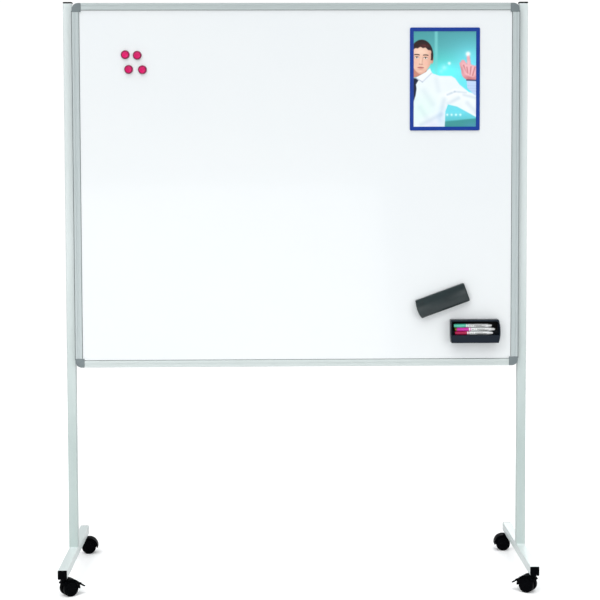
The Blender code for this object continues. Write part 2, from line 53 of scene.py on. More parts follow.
# Camera, fitted to a view from in front and a little above the middle of the board
CAMERA_PLACE = (-0.0837, -5.1914, 1.449)
CAMERA_YAW = radians(1.191)
CAMERA_PITCH = radians(3.374)
CAMERA_ROLL = radians(-0.154)
CAMERA_LENS = 91.84
CAMERA_SHIFT = (-0.0066, -0.10)

# Castor, in its own frame: swivel axis at x = 0, wheels trailing towards +x
WHEEL_RADIUS = 25 * MM
WHEEL_WIDTH = 15.5 * MM
WHEEL_INNER = 5.5 * MM
HOOD_OUTER = 32 * MM
HOOD_INNER = 26.8 * MM
HOOD_HALF = 21.5 * MM
HOOD_TOP = 56.5 * MM
HOOD_START = -4                # degrees about the axle, from the trailing side
HOOD_SWEEP = 154
HOOD_STEPS = 44
PEDAL_HALF = 12.6 * MM
PEDAL_DROOP = radians(12)

# Stand and board
TUBE = 30 * MM                 # side of the square tube
TUBE_WALL = 1.5 * MM
TUBE_CORNER = 2.5 * MM
FRAME_GAP = 1.5 * MM           # between the board's frame and a post
SCREW_X = 735 * MM             # the brackets' screws, from the middle of the board
CORNER_SIZE = 30 * MM
CORNER_RADIUS = 21 * MM

POST_PAINTED_SHADE = (1.1, 0.45)       # heights between which painted shade darkens the posts towards the floor
FOOT_PAINTED_SHADE_END = (0.097, 0.0925)   # heights at the feet's tops, below which the posts' painted shade is lifted again
SPANGLES = 110                 # zinc crystals in a metre

# Eraser, in its own frame
ERASER_SIZE = (180 * MM, 65 * MM, 28 * MM)
ERASER_BOW = 6 * MM
ERASER_PLACE = (490 * MM, 0, 937 * MM)
ERASER_TURN = Matrix.Rotation(radians(-20), 4, "Y")

# Marker holder
HOLDER_BOW = 6 * MM            # bulge of its right end
HOLDER_WALL = 3 * MM
HOLDER_END = 4 * MM            # thickness of the right end
HOLDER_LID = 5 * MM            # wall above the pocket
POCKET_FLOOR = 26 * MM         # pocket floor above the holder's underside
MARKER_CAP = 41 * MM
CAP_COLOURS = {"cyan": (0.10, 0.60, 0.42), "yellow": (0.80, 0.62, 0.05),
               "purple": (0.62, 0.02, 0.36), "red": (0.42, 0.008, 0.07)}

# Notice
NOTICE_BAR = 13                # width of its frame, in millimetres
GRID = 1 * MM                  # spacing of the print's colour points
HEAD_PLACE = (0.120, 0.275)    # the head's middle, as fractions of the print
HEAD_HALF = (39.0, 54.5)       # half its width and height, in millimetres
HEAD_TILT = radians(3)

# Studio
BACKGROUND = 1.05              # brightness of the white that the camera sees
SKY_LIGHT = 0.40
TOP_LIGHT = 2.3
TOP_SPREAD = radians(70)
TOP_TURN = (radians(20), 0, radians(-20))
# Area lights: width and height, power, place
AREA_LIGHTS = {"key_light": ((2.0, 2.0), 34, (-2.4, -3.8, 3.2)),
               "low_light": ((3.2, 2.0), 41, (-0.9, -4.2, 0.25)),
               "fill_light": ((2.4, 2.4), 40, (3.2, -3.8, 1.9)),
               "back_light": ((2.4, 2.4), 50, (1.6, 4.4, 2.6))}
LIGHT_AIM = Vector((0, 0, 1.2))
FLOOR_BOUNCE = 0.55            # floor's brightness as diffuse light sees it
FLOOR_GLOW = 0.12              # lifts the floor towards white, as the camera sees it
FLOOR_RADIUS = 7


# Frame lookups

joints = {joint["name"]: joint for joint in frame["joints"]}


def low(node):
    return Vector(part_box(node)[0])


def high(node):
    return Vector(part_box(node)[1])


def middle(node):
    return (low(node) + high(node)) / 2


def extent(node):
    return low(node), high(node), middle(node)


# Outlines: lists of (u, v) points

def arc(centre, radius, start, end, steps):
    """Points on an arc, angles in degrees, both ends included."""
    angles = [radians(start + (end - start) * step / steps) for step in range(steps + 1)]
    return [(centre[0] + radius * cos(a), centre[1] + radius * sin(a)) for a in angles]


def rectangle(u0, v0, u1, v1):
    return [(u0, v0), (u1, v0), (u1, v1), (u0, v1)]


def in_mm(*points):
    return [(u * MM, v * MM) for u, v in points]


def rounded(u0, v0, u1, v1, radius, steps=6):
    points = []
    for u, v, start in ((u1, v0, -90), (u1, v1, 0), (u0, v1, 90), (u0, v0, 180)):
        centre = (u - radius if u == u1 else u + radius, v - radius if v == v1 else v + radius)
        points += arc(centre, radius, start, start + 90, steps)
    return points


# Solids, as bmeshes with their faces pointing out

PLANES = {"x": lambda u, v, w: (w, u, v),
          "y": lambda u, v, w: (u, w, v),
          "z": lambda u, v, w: (u, v, w)}


def rings_to_solid(rings, caps=True, closed=False):
    """Faces between rings of equal length, with flat caps, or joined end to end if closed."""
    solid = bmesh.new()
    made = [[solid.verts.new(point) for point in ring] for ring in rings]
    pairs = list(zip(made, made[1:]))
    if closed:
        pairs.append((made[-1], made[0]))
    for ring, following in pairs:
        count = len(ring)
        for i in range(count):
            j = (i + 1) % count
            solid.faces.new((ring[i], ring[j], following[j], following[i]))
    if caps and not closed:
        solid.faces.new(made[0])
        solid.faces.new(made[-1])
    bmesh.ops.recalc_face_normals(solid, faces=solid.faces)
    return solid


def prism(outline, axis, start, end):
    place = PLANES[axis]
    return rings_to_solid([[place(u, v, w) for u, v in outline] for w in (start, end)])


def tube(outer, inner, axis, start, end, soft=0.0):
    """Hollow extrusion. soft turns the outer end edges in by a small chamfer."""
    place = PLANES[axis]
    step = (end - start) / abs(end - start) * soft
    shrink = 1 - soft / max(abs(u) for u, _ in outer)
    trimmed = [(u * shrink, v * shrink) for u, v in outer]
    layers = ((trimmed, start), (outer, start + step), (outer, end - step), (trimmed, end),
              (inner, end), (inner, start))
    return rings_to_solid([[place(u, v, w) for u, v in outline] for outline, w in layers], closed=True)


def turned(profile, steps, axis="z"):
    """A profile of (radius, height) turned about an axis; radius 0 closes an end."""
    solid = bmesh.new()
    place = PLANES[axis]
    rings = []
    for radius, height in profile:
        if radius == 0:
            rings.append([solid.verts.new(place(0, 0, height))])
        else:
            angles = [2 * pi * step / steps for step in range(steps)]
            rings.append([solid.verts.new(place(radius * cos(a), radius * sin(a), height)) for a in angles])
    for ring, following in zip(rings, rings[1:]):
        for i in range(steps):
            j = (i + 1) % steps
            if len(ring) == 1:
                solid.faces.new((ring[0], following[i], following[j]))
            elif len(following) == 1:
                solid.faces.new((ring[i], ring[j], following[0]))
            else:
                solid.faces.new((ring[i], ring[j], following[j], following[i]))
    bmesh.ops.recalc_face_normals(solid, faces=solid.faces)
    return solid


def moved(solid, matrix):
    bmesh.ops.transform(solid, matrix=matrix, verts=solid.verts)
    return solid


def shifted(solid, x=0.0, y=0.0, z=0.0):
    return moved(solid, Matrix.Translation((x, y, z)))


# Objects

def piece(name, solid, finish, body=None, nodes=(), matrix=None, sharp=38):
    """A named object from a bmesh, which it uses up, riding on a body."""
    mesh = bpy.data.meshes.new(name)
    if matrix is not None:
        moved(solid, matrix)
    solid.to_mesh(mesh)
    solid.free()
    mesh.materials.append(finish)
    mesh.shade_smooth()
    mesh.set_sharp_from_angle(angle=radians(sharp))
    made = bpy.data.objects.new(name, mesh)
    bpy.context.scene.collection.objects.link(made)
    if body:
        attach(made, body)
    if nodes:
        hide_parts(*nodes)
    return made


def refinish(node, finish):
    """Give a carried-over CAD node a better material."""
    materials = frame["nodes"][node].data.materials
    materials.clear()
    materials.append(finish)


def bevel(target, width, segments=3, angle=35):
    change = target.modifiers.new("bevel", "BEVEL")
    change.width = width
    change.segments = segments
    change.limit_method = "ANGLE"
    change.angle_limit = radians(angle)
    change.harden_normals = True
    return target


def joined(*solids):
    """Several bmeshes as one, their surfaces kept apart."""
    result = bmesh.new()
    for solid in solids:
        mesh = bpy.data.meshes.new("joined")
        solid.to_mesh(mesh)
        solid.free()
        result.from_mesh(mesh)
        bpy.data.meshes.remove(mesh)
    return result


def combined(base, *changes):
    """A bmesh after Boolean changes, each a pair of operation and bmesh."""
    def plain(name, solid):
        mesh = bpy.data.meshes.new(name)
        solid.to_mesh(mesh)
        solid.free()
        made = bpy.data.objects.new(name, mesh)
        bpy.context.scene.collection.objects.link(made)
        return made
    body = plain("boolean_base", base)
    tools = []
    for operation, solid in changes:
        tool = plain("boolean_tool", solid)
        change = body.modifiers.new("change", "BOOLEAN")
        change.operation = operation
        change.solver = "EXACT"
        change.object = tool
        tools.append(tool)
    bpy.context.view_layer.update()
    evaluated = body.evaluated_get(bpy.context.evaluated_depsgraph_get())
    result = bmesh.new()
    result.from_mesh(evaluated.to_mesh())
    evaluated.to_mesh_clear()
    bmesh.ops.remove_doubles(result, verts=result.verts, dist=1e-6)
    for item in (body, *tools):
        mesh = item.data
        bpy.data.objects.remove(item)
        bpy.data.meshes.remove(mesh)
    return result


# Materials

def set_inputs(node, **values):
    """Set a node's inputs by name, written with _ for a space."""
    for key, value in values.items():
        node.inputs[key.replace("_", " ")].default_value = value
    return node


def add_node(tree, kind, **values):
    return set_inputs(tree.nodes.new(kind), **values)


class Finish:
    """One node material: a Principled shader with its colour, roughness and bump from noise."""

    def __init__(self, name, slot, colour, roughness, metallic=0.0, coat=0.0, coat_roughness=0.1, ior=1.5):
        self.material = bpy.data.materials.new(name)
        self.material.use_nodes = True
        self.material["slot"] = slot
        self.tree = self.material.node_tree
        self.shader = self.tree.nodes["Principled BSDF"]
        self.colour = (*colour, 1.0)
        self.roughness = roughness
        set_inputs(self.shader, Base_Color=self.colour, Roughness=roughness, Metallic=metallic,
                   Coat_Weight=coat, Coat_Roughness=coat_roughness, IOR=ior)
        self.place = self.tree.nodes.new("ShaderNodeTexCoord")
        self.height = None

    def link(self, source, target):
        self.tree.links.new(source, target)

    def mapped(self, scale):
        node = add_node(self.tree, "ShaderNodeMapping", Scale=scale)
        self.link(self.place.outputs["Object"], node.inputs["Vector"])
        return node.outputs["Vector"]

    def noise(self, size, stretch=(1, 1, 1), detail=3.0, rough=0.55, distortion=0.0):
        """Noise whose features measure about size, in metres, stretched along an axis."""
        node = add_node(self.tree, "ShaderNodeTexNoise", Scale=1.0, Detail=detail, Roughness=rough,
                        Distortion=distortion)
        self.link(self.mapped(tuple(1 / (size * part) for part in stretch)), node.inputs["Vector"])
        return node.outputs["Fac"]

    def ramp(self, source, low_value, high_value, start=0.3, end=0.7):
        node = add_node(self.tree, "ShaderNodeMapRange", From_Min=start, From_Max=end,
                        To_Min=low_value, To_Max=high_value)
        self.link(source, node.inputs["Value"])
        return node.outputs["Result"]

    def tint(self, source, other, start=0.3, end=0.7, amount=1.0):
        """Blends the colour towards another where the source is high."""
        node = self.tree.nodes.new("ShaderNodeMix")
        node.data_type = "RGBA"
        self.link(self.ramp(source, 0.0, amount, start, end), node.inputs["Factor"])
        before = self.shader.inputs["Base Color"]
        if before.is_linked:
            self.link(before.links[0].from_socket, node.inputs[6])
        else:
            node.inputs[6].default_value = self.colour
        node.inputs[7].default_value = (*other, 1.0)
        self.link(node.outputs[2], before)
        return self

    def vary_roughness(self, source, spread, start=0.3, end=0.7):
        value = self.ramp(source, self.roughness - spread, self.roughness + spread, start, end)
        self.link(value, self.shader.inputs["Roughness"])
        return self

    def bump(self, source, height, strength=1.0):
        node = add_node(self.tree, "ShaderNodeBump", Strength=strength, Distance=height)
        self.link(source, node.inputs["Height"])
        if self.height is not None:
            self.link(self.height, node.inputs["Normal"])
        self.height = node.outputs["Normal"]
        self.link(self.height, self.shader.inputs["Normal"])
        return self

    def edge_wear(self, other, amount=0.5):
        """Lighter colour on outside edges, from how sharply the surface turns."""
        node = self.tree.nodes.new("ShaderNodeNewGeometry")
        return self.tint(node.outputs["Pointiness"], other, 0.52, 0.6, amount)


def moulded(name, slot, colour, roughness=0.38, shade=0.82, specular=0.5):
    """Injection-moulded plastic: fine grain, faint flow marks and slightly rubbed edges."""
    made = Finish(name, slot, colour, roughness)
    set_inputs(made.shader, Specular_IOR_Level=specular)
    darker = tuple(value * shade for value in colour)
    made.tint(made.noise(22 * MM, detail=2), darker, amount=0.6)
    made.edge_wear(tuple(min(1.0, value * 1.4 + 0.001) for value in colour), 0.4)
    made.vary_roughness(made.noise(9 * MM, detail=4), 0.02)
    made.bump(made.noise(0.35 * MM, detail=2), 0.012 * MM)
    return made.material


def painted_steel():
    """Silver powder coat, with painted shade that turns the posts darker and greener downwards, lifted again
    on the feet.
    """
    made = Finish("silver_powder_coat", "silver_paint", (0.69, 0.755, 0.75), 0.40, 0.15, 0.2, 0.2)
    height = made.tree.nodes.new("ShaderNodeSeparateXYZ")
    made.link(made.place.outputs["Object"], height.inputs["Vector"])
    # Painted shade: the posts darker and greener towards the floor, then back to the plain coat on the feet
    made.tint(height.outputs["Z"], (0.45, 0.54, 0.52), *POST_PAINTED_SHADE)
    made.tint(height.outputs["Z"], (0.69, 0.76, 0.75), *FOOT_PAINTED_SHADE_END)
    made.tint(made.noise(60 * MM, (1, 1, 6), 2), (0.65, 0.72, 0.71), amount=0.3)
    made.tint(made.noise(0.7 * MM, detail=1), (0.80, 0.84, 0.83), 0.55, 0.75, 0.3)
    made.vary_roughness(made.noise(14 * MM, detail=4), 0.05)
    made.bump(made.noise(1.1 * MM, detail=2), 0.012 * MM)
    return made.material


def anodised(name, along, colour):
    """Satin anodised extrusion with die lines along its length."""
    made = Finish(name, "anodised_aluminium", colour, 0.42, 0.25)
    stretch = {"x": (5000, 1, 1), "z": (1, 1, 5000)}[along]
    lines = made.noise(0.45 * MM, stretch, 2, 0.6)
    made.tint(lines, tuple(value * 0.9 for value in colour), amount=0.7)
    made.vary_roughness(made.noise(1.6 * MM, stretch, 3), 0.06)
    made.bump(lines, 0.008 * MM)
    return made.material


# Near-black matt finish for the dark pieces that stand in for shadow along the frame's joints
def shadow_strip_finish():
    made = Finish("painted_shadow_strip", "black_plastic", (0.10, 0.115, 0.12), 0.7)
    made.tint(made.noise(4 * MM, detail=3), (0.07, 0.08, 0.085), amount=0.6)
    made.bump(made.noise(0.5 * MM, detail=2), 0.03 * MM)
    return made.material


def enamel():
    made = Finish("white_enamel_surface", "white_enamel", (0.835, 0.862, 0.870), 0.3, 0.0, 0.35, 0.06)
    made.tint(made.noise(520 * MM, detail=2), (0.82, 0.852, 0.868), 0.35, 0.65, 0.8)
    made.tint(made.noise(45 * MM, (3, 1, 1), 5, 0.6, 0.6), (0.845, 0.866, 0.868), 0.45, 0.8, 0.1)
    made.vary_roughness(made.noise(240 * MM, (2, 1, 1), 2), 0.015)
    made.bump(made.noise(2.6 * MM, detail=2), 0.006 * MM)
    return made.material


def zinc_sheet():
    """Spangled zinc coating of the backing sheet."""
    made = Finish("spangled_zinc", "zinc_sheet", (0.50, 0.52, 0.54), 0.38, 0.75)
    cells = add_node(made.tree, "ShaderNodeTexVoronoi", Scale=1.0)
    made.link(made.mapped((SPANGLES, SPANGLES, SPANGLES)), cells.inputs["Vector"])
    grey = made.tree.nodes.new("ShaderNodeRGBToBW")
    made.link(cells.outputs["Color"], grey.inputs["Color"])
    made.tint(grey.outputs["Val"], (0.62, 0.635, 0.65), 0.1, 0.9, 1.0)
    made.vary_roughness(grey.outputs["Val"], 0.09, 0.1, 0.9)
    made.bump(made.noise(3 * MM, detail=3), 0.01 * MM)
    return made.material


def zinc_plate():
    made = Finish("zinc_plated_steel", "zinc_plate", (0.60, 0.61, 0.62), 0.3, 0.95)
    made.tint(made.noise(5 * MM, detail=4), (0.50, 0.52, 0.55), amount=0.6)
    made.vary_roughness(made.noise(2 * MM, detail=3), 0.08)
    made.bump(made.noise(0.6 * MM, detail=2), 0.01 * MM)
    return made.material


def honeycomb_card():
    made = Finish("card_core", "honeycomb_card", (0.48, 0.36, 0.24), 0.85)
    made.tint(made.noise(1.5 * MM, (1, 1, 12), 4), (0.36, 0.26, 0.16), amount=0.8)
    made.bump(made.noise(0.8 * MM, (1, 1, 8), 3), 0.08 * MM)
    return made.material


def felt():
    made = Finish("grey_felt", "eraser_felt", (0.075, 0.078, 0.085), 0.95)
    made.tint(made.noise(0.5 * MM, detail=4), (0.16, 0.16, 0.17), amount=0.8)
    made.tint(made.noise(9 * MM, detail=3), (0.03, 0.035, 0.05), 0.45, 0.7, 0.7)
    made.bump(made.noise(0.35 * MM, detail=3), 0.25 * MM)
    return made.material


def paper_back():
    made = Finish("print_back", "printed_paper", (0.78, 0.78, 0.76), 0.7)
    made.tint(made.noise(0.9 * MM, detail=4), (0.70, 0.70, 0.67), amount=0.6)
    made.bump(made.noise(0.4 * MM, detail=3), 0.02 * MM)
    return made.material


def printed_sheet():
    """Glossy print whose colours are painted on the sheet's points."""
    made = Finish("notice_print_ink", "printed_paper", (1, 1, 1), 0.32)
    ink = made.tree.nodes.new("ShaderNodeVertexColor")
    ink.layer_name = "ink"
    made.link(ink.outputs["Color"], made.shader.inputs["Base Color"])
    made.vary_roughness(made.noise(3 * MM, detail=3), 0.05)
    made.bump(made.noise(0.5 * MM, detail=3), 0.01 * MM)
    return made.material


# Stand

def tube_outline(half, corner):
    return rounded(-half, -half, half, half, corner)


def square_cap(node, axis, head, finish):
    """A rounded square plug head with softened edges, where the node's outermost part is."""
    start, end, centre = extent(node)
    outline = tube_outline(TUBE / 2, 2.6 * MM)
    if axis == "z":
        solid = shifted(prism(outline, "z", end.z - head, end.z), x=centre.x, y=centre.y)
    elif centre.y < 0:
        solid = shifted(prism(outline, "y", start.y, start.y + head), x=centre.x, z=centre.z)
    else:
        solid = shifted(prism(outline, "y", end.y - head, end.y), x=centre.x, z=centre.z)
    bevel(piece(f"{node}_head", solid, finish, STAND, [node]), 0.9 * MM, 4)


def weld_bead(centre, top, steel, name):
    """Fillet welds along the front and back of a post's lower end."""
    radius = 3 * MM
    hollow = arc((radius, radius), radius, 180, 270, 6)
    beads = []
    for side in (-1, 1):
        outline = [(0, 0), *[(side * u, v) for u, v in hollow]]
        beads.append(shifted(prism(outline, "x", -12 * MM, 12 * MM), centre.x, side * TUBE / 2, top))
    piece(name, joined(*beads), steel, STAND)


def stand(steel, black):
    outer = tube_outline(TUBE / 2, TUBE_CORNER)
    inner = tube_outline(TUBE / 2 - TUBE_WALL, TUBE_CORNER - TUBE_WALL)
    for side in ("left", "right"):
        post = f"post_{side}"
        centre = middle(post)
        solid = tube(outer, inner, "z", low(post).z, high(post).z, 0.3 * MM)
        piece(f"{post}_tube", shifted(solid, centre.x, centre.y), steel, STAND, [post])
        square_cap(f"post_cap_{side}", "z", 4.7 * MM, black)
        foot = f"foot_{side}"
        place = middle(foot)
        solid = tube(outer, inner, "y", low(foot).y, high(foot).y, 0.3 * MM)
        piece(f"{foot}_tube", shifted(solid, place.x, 0, place.z), steel, STAND, [foot])
        weld_bead(centre, high(foot).z, steel, f"weld_{side}")
        for end in ("front", "rear"):
            square_cap(f"foot_plug_{side}_{end}", "y", 3 * MM, black)


# Board

def rail_section():
    """Rail section: u inwards from the frame's outer edge, v backwards from its front."""
    return in_mm(*arc((1.6, 1.6), 1.6, 180, 270, 5), (6.6, 0), *arc((7.0, 0.4), 0.4, 270, 330, 2),
                 *arc((8.6, 0.7), 0.6, 120, 90, 2), (12.2, 1.3), *arc((13.0, 0.5), 0.5, 200, 270, 2),
                 *arc((22.0, 1.2), 1.2, 270, 360, 4), (23.2, 3.7), (9.8, 3.7), (9.8, 21.3), (20, 21.3),
                 (20, 24.4), (19.4, 25), (0.6, 25), (0, 24.4))


# lower is a lighter copy of the anodising for the bottom rail, as painted light
def rails(upright, upper, lower):
    front = low("rail_left").y
    for node, outer, inwards, finish in (("rail_left", low("rail_left").x, 1, upright),
                                         ("rail_right", high("rail_right").x, -1, upright),
                                         ("rail_bottom", low("rail_bottom").z, 1, lower),
                                         ("rail_top", high("rail_top").z, -1, upper)):
        start, end = low(node), high(node)
        if finish is upright:
            outline = [(outer + inwards * u, front + v) for u, v in rail_section()]
            solid = prism(outline, "z", start.z, end.z)
        else:
            outline = [(front + v, outer + inwards * u) for u, v in rail_section()]
            solid = prism(outline, "x", start.x, end.x)
        piece(f"{node}_extrusion", solid, finish, STAND, [node], sharp=25)


def corner_caps(plastic):
    """Moulded corner caps with a rounded outer corner, softened edges and a notch for the panel."""
    size = CORNER_SIZE
    radius = CORNER_RADIUS
    inner = 10.2 * MM
    for level, up in (("lower", 1), ("upper", -1)):
        for side, right in (("left", 1), ("right", -1)):
            node = f"corner_{level}_{side}"
            start, end = low(node), high(node)
            x = start.x if right > 0 else end.x
            z = start.z if up > 0 else end.z

            def at(u, v):
                return (x + right * u, z + up * v)
            outline = [at(0, size), *[at(u, v) for u, v in arc((radius, radius), radius, 180, 270, 10)],
                       at(size, 0), at(size, size)]
            notch = [at(u, v) for u, v in rectangle(inner, inner, size * 1.1, size * 1.1)]
            rim = low("writing_sheet").y - 0.3 * MM
            solid = combined(prism(outline, "y", start.y, end.y),
                             ("DIFFERENCE", prism(notch, "y", rim, end.y + 1 * MM)))
            bevel(piece(f"{node}_cap", solid, plastic, STAND, [node]), 1.4 * MM, 4)


def shadow_strips(shadow_dark):
    """Painted shadow: a dark bead between the rails and the writing sheet, and a dark strip in the gap to
    each post, standing in for the shade along these joints.
    """
    start, end = low("rail_left"), high("rail_right")
    bottom, top = low("rail_bottom").z, high("rail_top").z
    sheet = low("writing_sheet").y

    def ring(inset, y):
        x0, z0, x1, z1 = start.x + inset, bottom + inset, end.x - inset, top - inset
        return [(x, y, z) for x, z in rectangle(x0, z0, x1, z1)]
    section = in_mm((22.6, 0.2), (22.6, 1.1), (24.1, 1.1), (24.6, 0.6), (24.6, 0.2))
    rings = [ring(inset, sheet - proud) for inset, proud in section]
    piece("panel_shadow_bead", rings_to_solid(rings, closed=True), shadow_dark, STAND)
    # Painted shadow: a dark strip filling the gap between each rail and its post
    for side, outwards in (("left", -1), ("right", 1)):
        board = end.x - 0.1 * MM
        post = end.x + FRAME_GAP + 0.1 * MM
        outline = [(outwards * board, -33 * MM), (outwards * post, -32.4 * MM),
                   (outwards * post, -10 * MM), (outwards * board, -10 * MM)]
        piece(f"gap_shadow_strip_{side}", prism(outline, "z", bottom + 26 * MM, top - 26 * MM), shadow_dark, STAND)


def hexagon(across_flats):
    return arc((0, 0), across_flats / 2 / cos(pi / 6), 0, 300, 5)


def bolt_head(radius, height, flats, direction):
    """Flanged hexagon head standing on x = 0 and facing +x or -x, with a domed top."""
    washer = turned([(0, 0), (radius, 0), (radius, 0.8 * MM), (radius - MM, 1.1 * MM), (0, 1.1 * MM)], 32)
    body = prism(hexagon(flats), "z", 0.9 * MM, height - 0.7 * MM)
    dome = flats / 2 / cos(pi / 6)
    crown = turned([(0, height - MM), (dome - 0.9 * MM, height - MM),
                    (dome - 1.2 * MM, height - 0.3 * MM), (dome - 2 * MM, height), (0, height)], 24)
    return moved(joined(washer, body, crown), Matrix.Rotation(direction * pi / 2, 4, "Y"))


def pan_screw(radius, height):
    """Pan head with a cross recess, standing on y = 0 and facing +y."""
    profile = [(0, 0), (radius, 0), *[(radius * cos(radians(a)), height * (0.25 + 0.75 * sin(radians(a))))
                                     for a in range(0, 76, 15)], (0, height)]
    head = turned(profile, 28)
    slot_length, slot_width = radius * 0.62, radius * 0.14
    cuts = [prism(rectangle(-a, -b, a, b), "z", height * 0.45, height * 1.2)
            for a, b in ((slot_length, slot_width), (slot_width, slot_length))]
    solid = combined(head, *[("DIFFERENCE", cut) for cut in cuts])
    return moved(solid, Matrix.Rotation(-pi / 2, 4, "X"))


def brackets(zinc):
    """Folded angles from the posts to the frame's back, each with a flanged bolt and a pan screw."""
    steel = 2.5 * MM
    bend = 3.5 * MM
    for level in ("lower", "upper"):
        for side, outwards in (("left", -1), ("right", 1)):
            node = f"bracket_{level}_{side}"
            start, end = low(node), high(node)
            post_side = low(f"post_{side}").x if outwards > 0 else high(f"post_{side}").x
            face = abs(post_side) - 0.3 * MM
            back = high("rail_left").y + 0.3 * MM
            tip = back + 22.7 * MM
            reach = face - 26 * MM
            outline = [(face, tip - 2 * MM), (face - 0.8 * MM, tip), (face - steel, tip),
                       (face - bend, back + steel + MM), (face - steel - MM, back + steel),
                       (reach, back + steel), (reach, back),
                       *arc((face - bend, back + bend), bend, 270, 360, 6)]
            outline = [(outwards * u, v) for u, v in outline]
            plate = prism(outline, "z", start.z, end.z)
            centre = (start.z + end.z) / 2
            head = bolt_head(6.5 * MM, 4 * MM, 9 * MM, -outwards)
            shifted(head, outwards * (face - steel), 3 * MM, centre)
            screw = shifted(pan_screw(4 * MM, 2 * MM), outwards * SCREW_X, back + steel, centre)
            bevel(piece(f"{node}_angle", plate, zinc, STAND, [node]), 0.4 * MM, 2)
            piece(f"{node}_bolt", joined(head, screw), zinc, STAND, sharp=30)


# Castors

def castor_frame(name):
    """Where a castor's own frame is: at its swivel, x along its heading."""
    place = joints[f"{name}_swivel"]["pos_m"]
    axle = joints[f"{name}_wheel_a_spin"]["axis"]
    heading = np.arctan2(-axle[0], axle[1])
    return Matrix.Translation((place[0], place[1], 0)) @ Matrix.Rotation(heading, 4, "Z")


def castor_axle():
    """Axle height and trail, from the front left castor's joints."""
    swivel = Vector(joints["front_left_swivel"]["pos_m"])
    wheel = Vector(joints["front_left_wheel_a_spin"]["pos_m"])
    return ((wheel - swivel).xy.length, wheel.z)


def hood_section():
    """Section across the hood: (radius from the axle, y), with rounded outer corners."""
    outer, inner, half = HOOD_OUTER, HOOD_INNER, HOOD_HALF
    round_over = 3 * MM
    thin = 0.8 * MM
    points = arc((outer - round_over, half - round_over), round_over, 90, 0, 6)
    points += arc((outer - round_over, -half + round_over), round_over, 0, -90, 6)
    points += [(inner + thin, -half), (inner, -half + thin), (inner, half - thin), (inner + thin, half)]
    return points


def castor_hood(name, braked, plastic):
    axle = castor_axle()
    rings = []
    for step in range(HOOD_STEPS + 1):
        angle = radians(HOOD_START + HOOD_SWEEP * step / HOOD_STEPS)
        rings.append([(axle[0] + r * cos(angle), y, axle[1] + r * sin(angle)) for r, y in hood_section()])
    web = arc(axle, HOOD_INNER + 1 * MM, 4, 145, 24) + arc(axle, 7 * MM, 190, 335, 12)
    web_half = WHEEL_INNER - 0.8 * MM
    boss = in_mm((0, 36), (4.7, 36), (4.7, 47), (8.6, 47.5), (8.4, 51), (7.9, 53.5), (7.4, 55.6),
                 (6.6, 56.4), (0, 56.5))
    changes = [("UNION", prism(web, "y", -web_half, web_half)), ("UNION", turned(boss, 36))]
    bore = shifted(prism(arc((0, 0), 3.05 * MM, 0, 345, 23), "y", -8 * MM, 8 * MM), axle[0], 0, axle[1])
    changes.append(("DIFFERENCE", bore))
    if braked:
        px, pz = pedal_pivot()
        half = PEDAL_HALF + 0.8 * MM
        window = rectangle(px - 12 * MM, 15 * MM, px + 9 * MM, pz + 1 * MM)
        changes.append(("DIFFERENCE", prism(window, "y", -half, half)))
        ear = [(px - 8.6 * MM, pz - 4.3 * MM), *arc((px, pz), 3.8 * MM, -82, 98, 12),
               (px - 7.2 * MM, pz + 4.6 * MM)]
        for inner, outer in ((-16.5 * MM, -13.2 * MM), (13.2 * MM, 16.5 * MM)):
            changes.append(("UNION", prism(ear, "y", inner, outer)))
    solid = combined(rings_to_solid(rings), *changes)
    made = piece(f"castor_{name}_shell", solid, plastic, f"{name}_castor", [f"castor_{name}_hood"],
                 castor_frame(name), 30)
    bevel(made, 0.35 * MM, 2, 40)


def castor_wheel(name, letter, side, nylon):
    """Nylon wheel with rounded tread edges, a recessed disc with ribs, and a domed hub."""
    r, w = WHEEL_RADIUS, WHEEL_WIDTH
    profile = [(0, 12.6 * MM), (3.35 * MM, 12.6 * MM), (3.35 * MM, 0), (7 * MM, 0), (8 * MM, 1.5 * MM),
               (19 * MM, 1.5 * MM), (20 * MM, 0), *arc((r - 2 * MM, 2 * MM), 2 * MM, -90, 0, 5),
               *arc((r - 3.4 * MM, w - 3.4 * MM), 3.4 * MM, 0, 84, 7), (r - 4.6 * MM, w - 0.2 * MM),
               (r - 5.4 * MM, w - 1.6 * MM), (10 * MM, w - 1.6 * MM), (9.2 * MM, w - 0.6 * MM),
               (8.4 * MM, w - 0.2 * MM), (5 * MM, w), (0, w)]
    wheel = turned(profile, 56)
    ribs = []
    for step in range(6):
        outline = rounded(9.5 * MM, -0.8 * MM, r - 5 * MM, 0.8 * MM, 0.5 * MM, 2)
        rib = prism(outline, "z", w - 2 * MM, w - 0.7 * MM)
        ribs.append(moved(rib, Matrix.Rotation(step * pi / 3, 4, "Z")))
    solid = shifted(joined(wheel, *ribs), z=WHEEL_INNER)
    solid = moved(solid, Matrix.Rotation(-side * pi / 2, 4, "X"))
    trail, height = castor_axle()
    matrix = castor_frame(name) @ Matrix.Translation((trail, 0, height))
    piece(f"castor_{name}_tyre_{letter}", solid, nylon, f"{name}_wheel_{letter}",
          [f"castor_{name}_wheel_{letter}"], matrix, 30)


def pedal_pivot():
    """Pedal pivot in a castor's own frame: (x, z)."""
    swivel = Vector(joints["front_left_swivel"]["pos_m"])
    pivot = Vector(joints["front_left_brake_press"]["pos_m"])
    return ((pivot - swivel).xy.length, pivot.z)


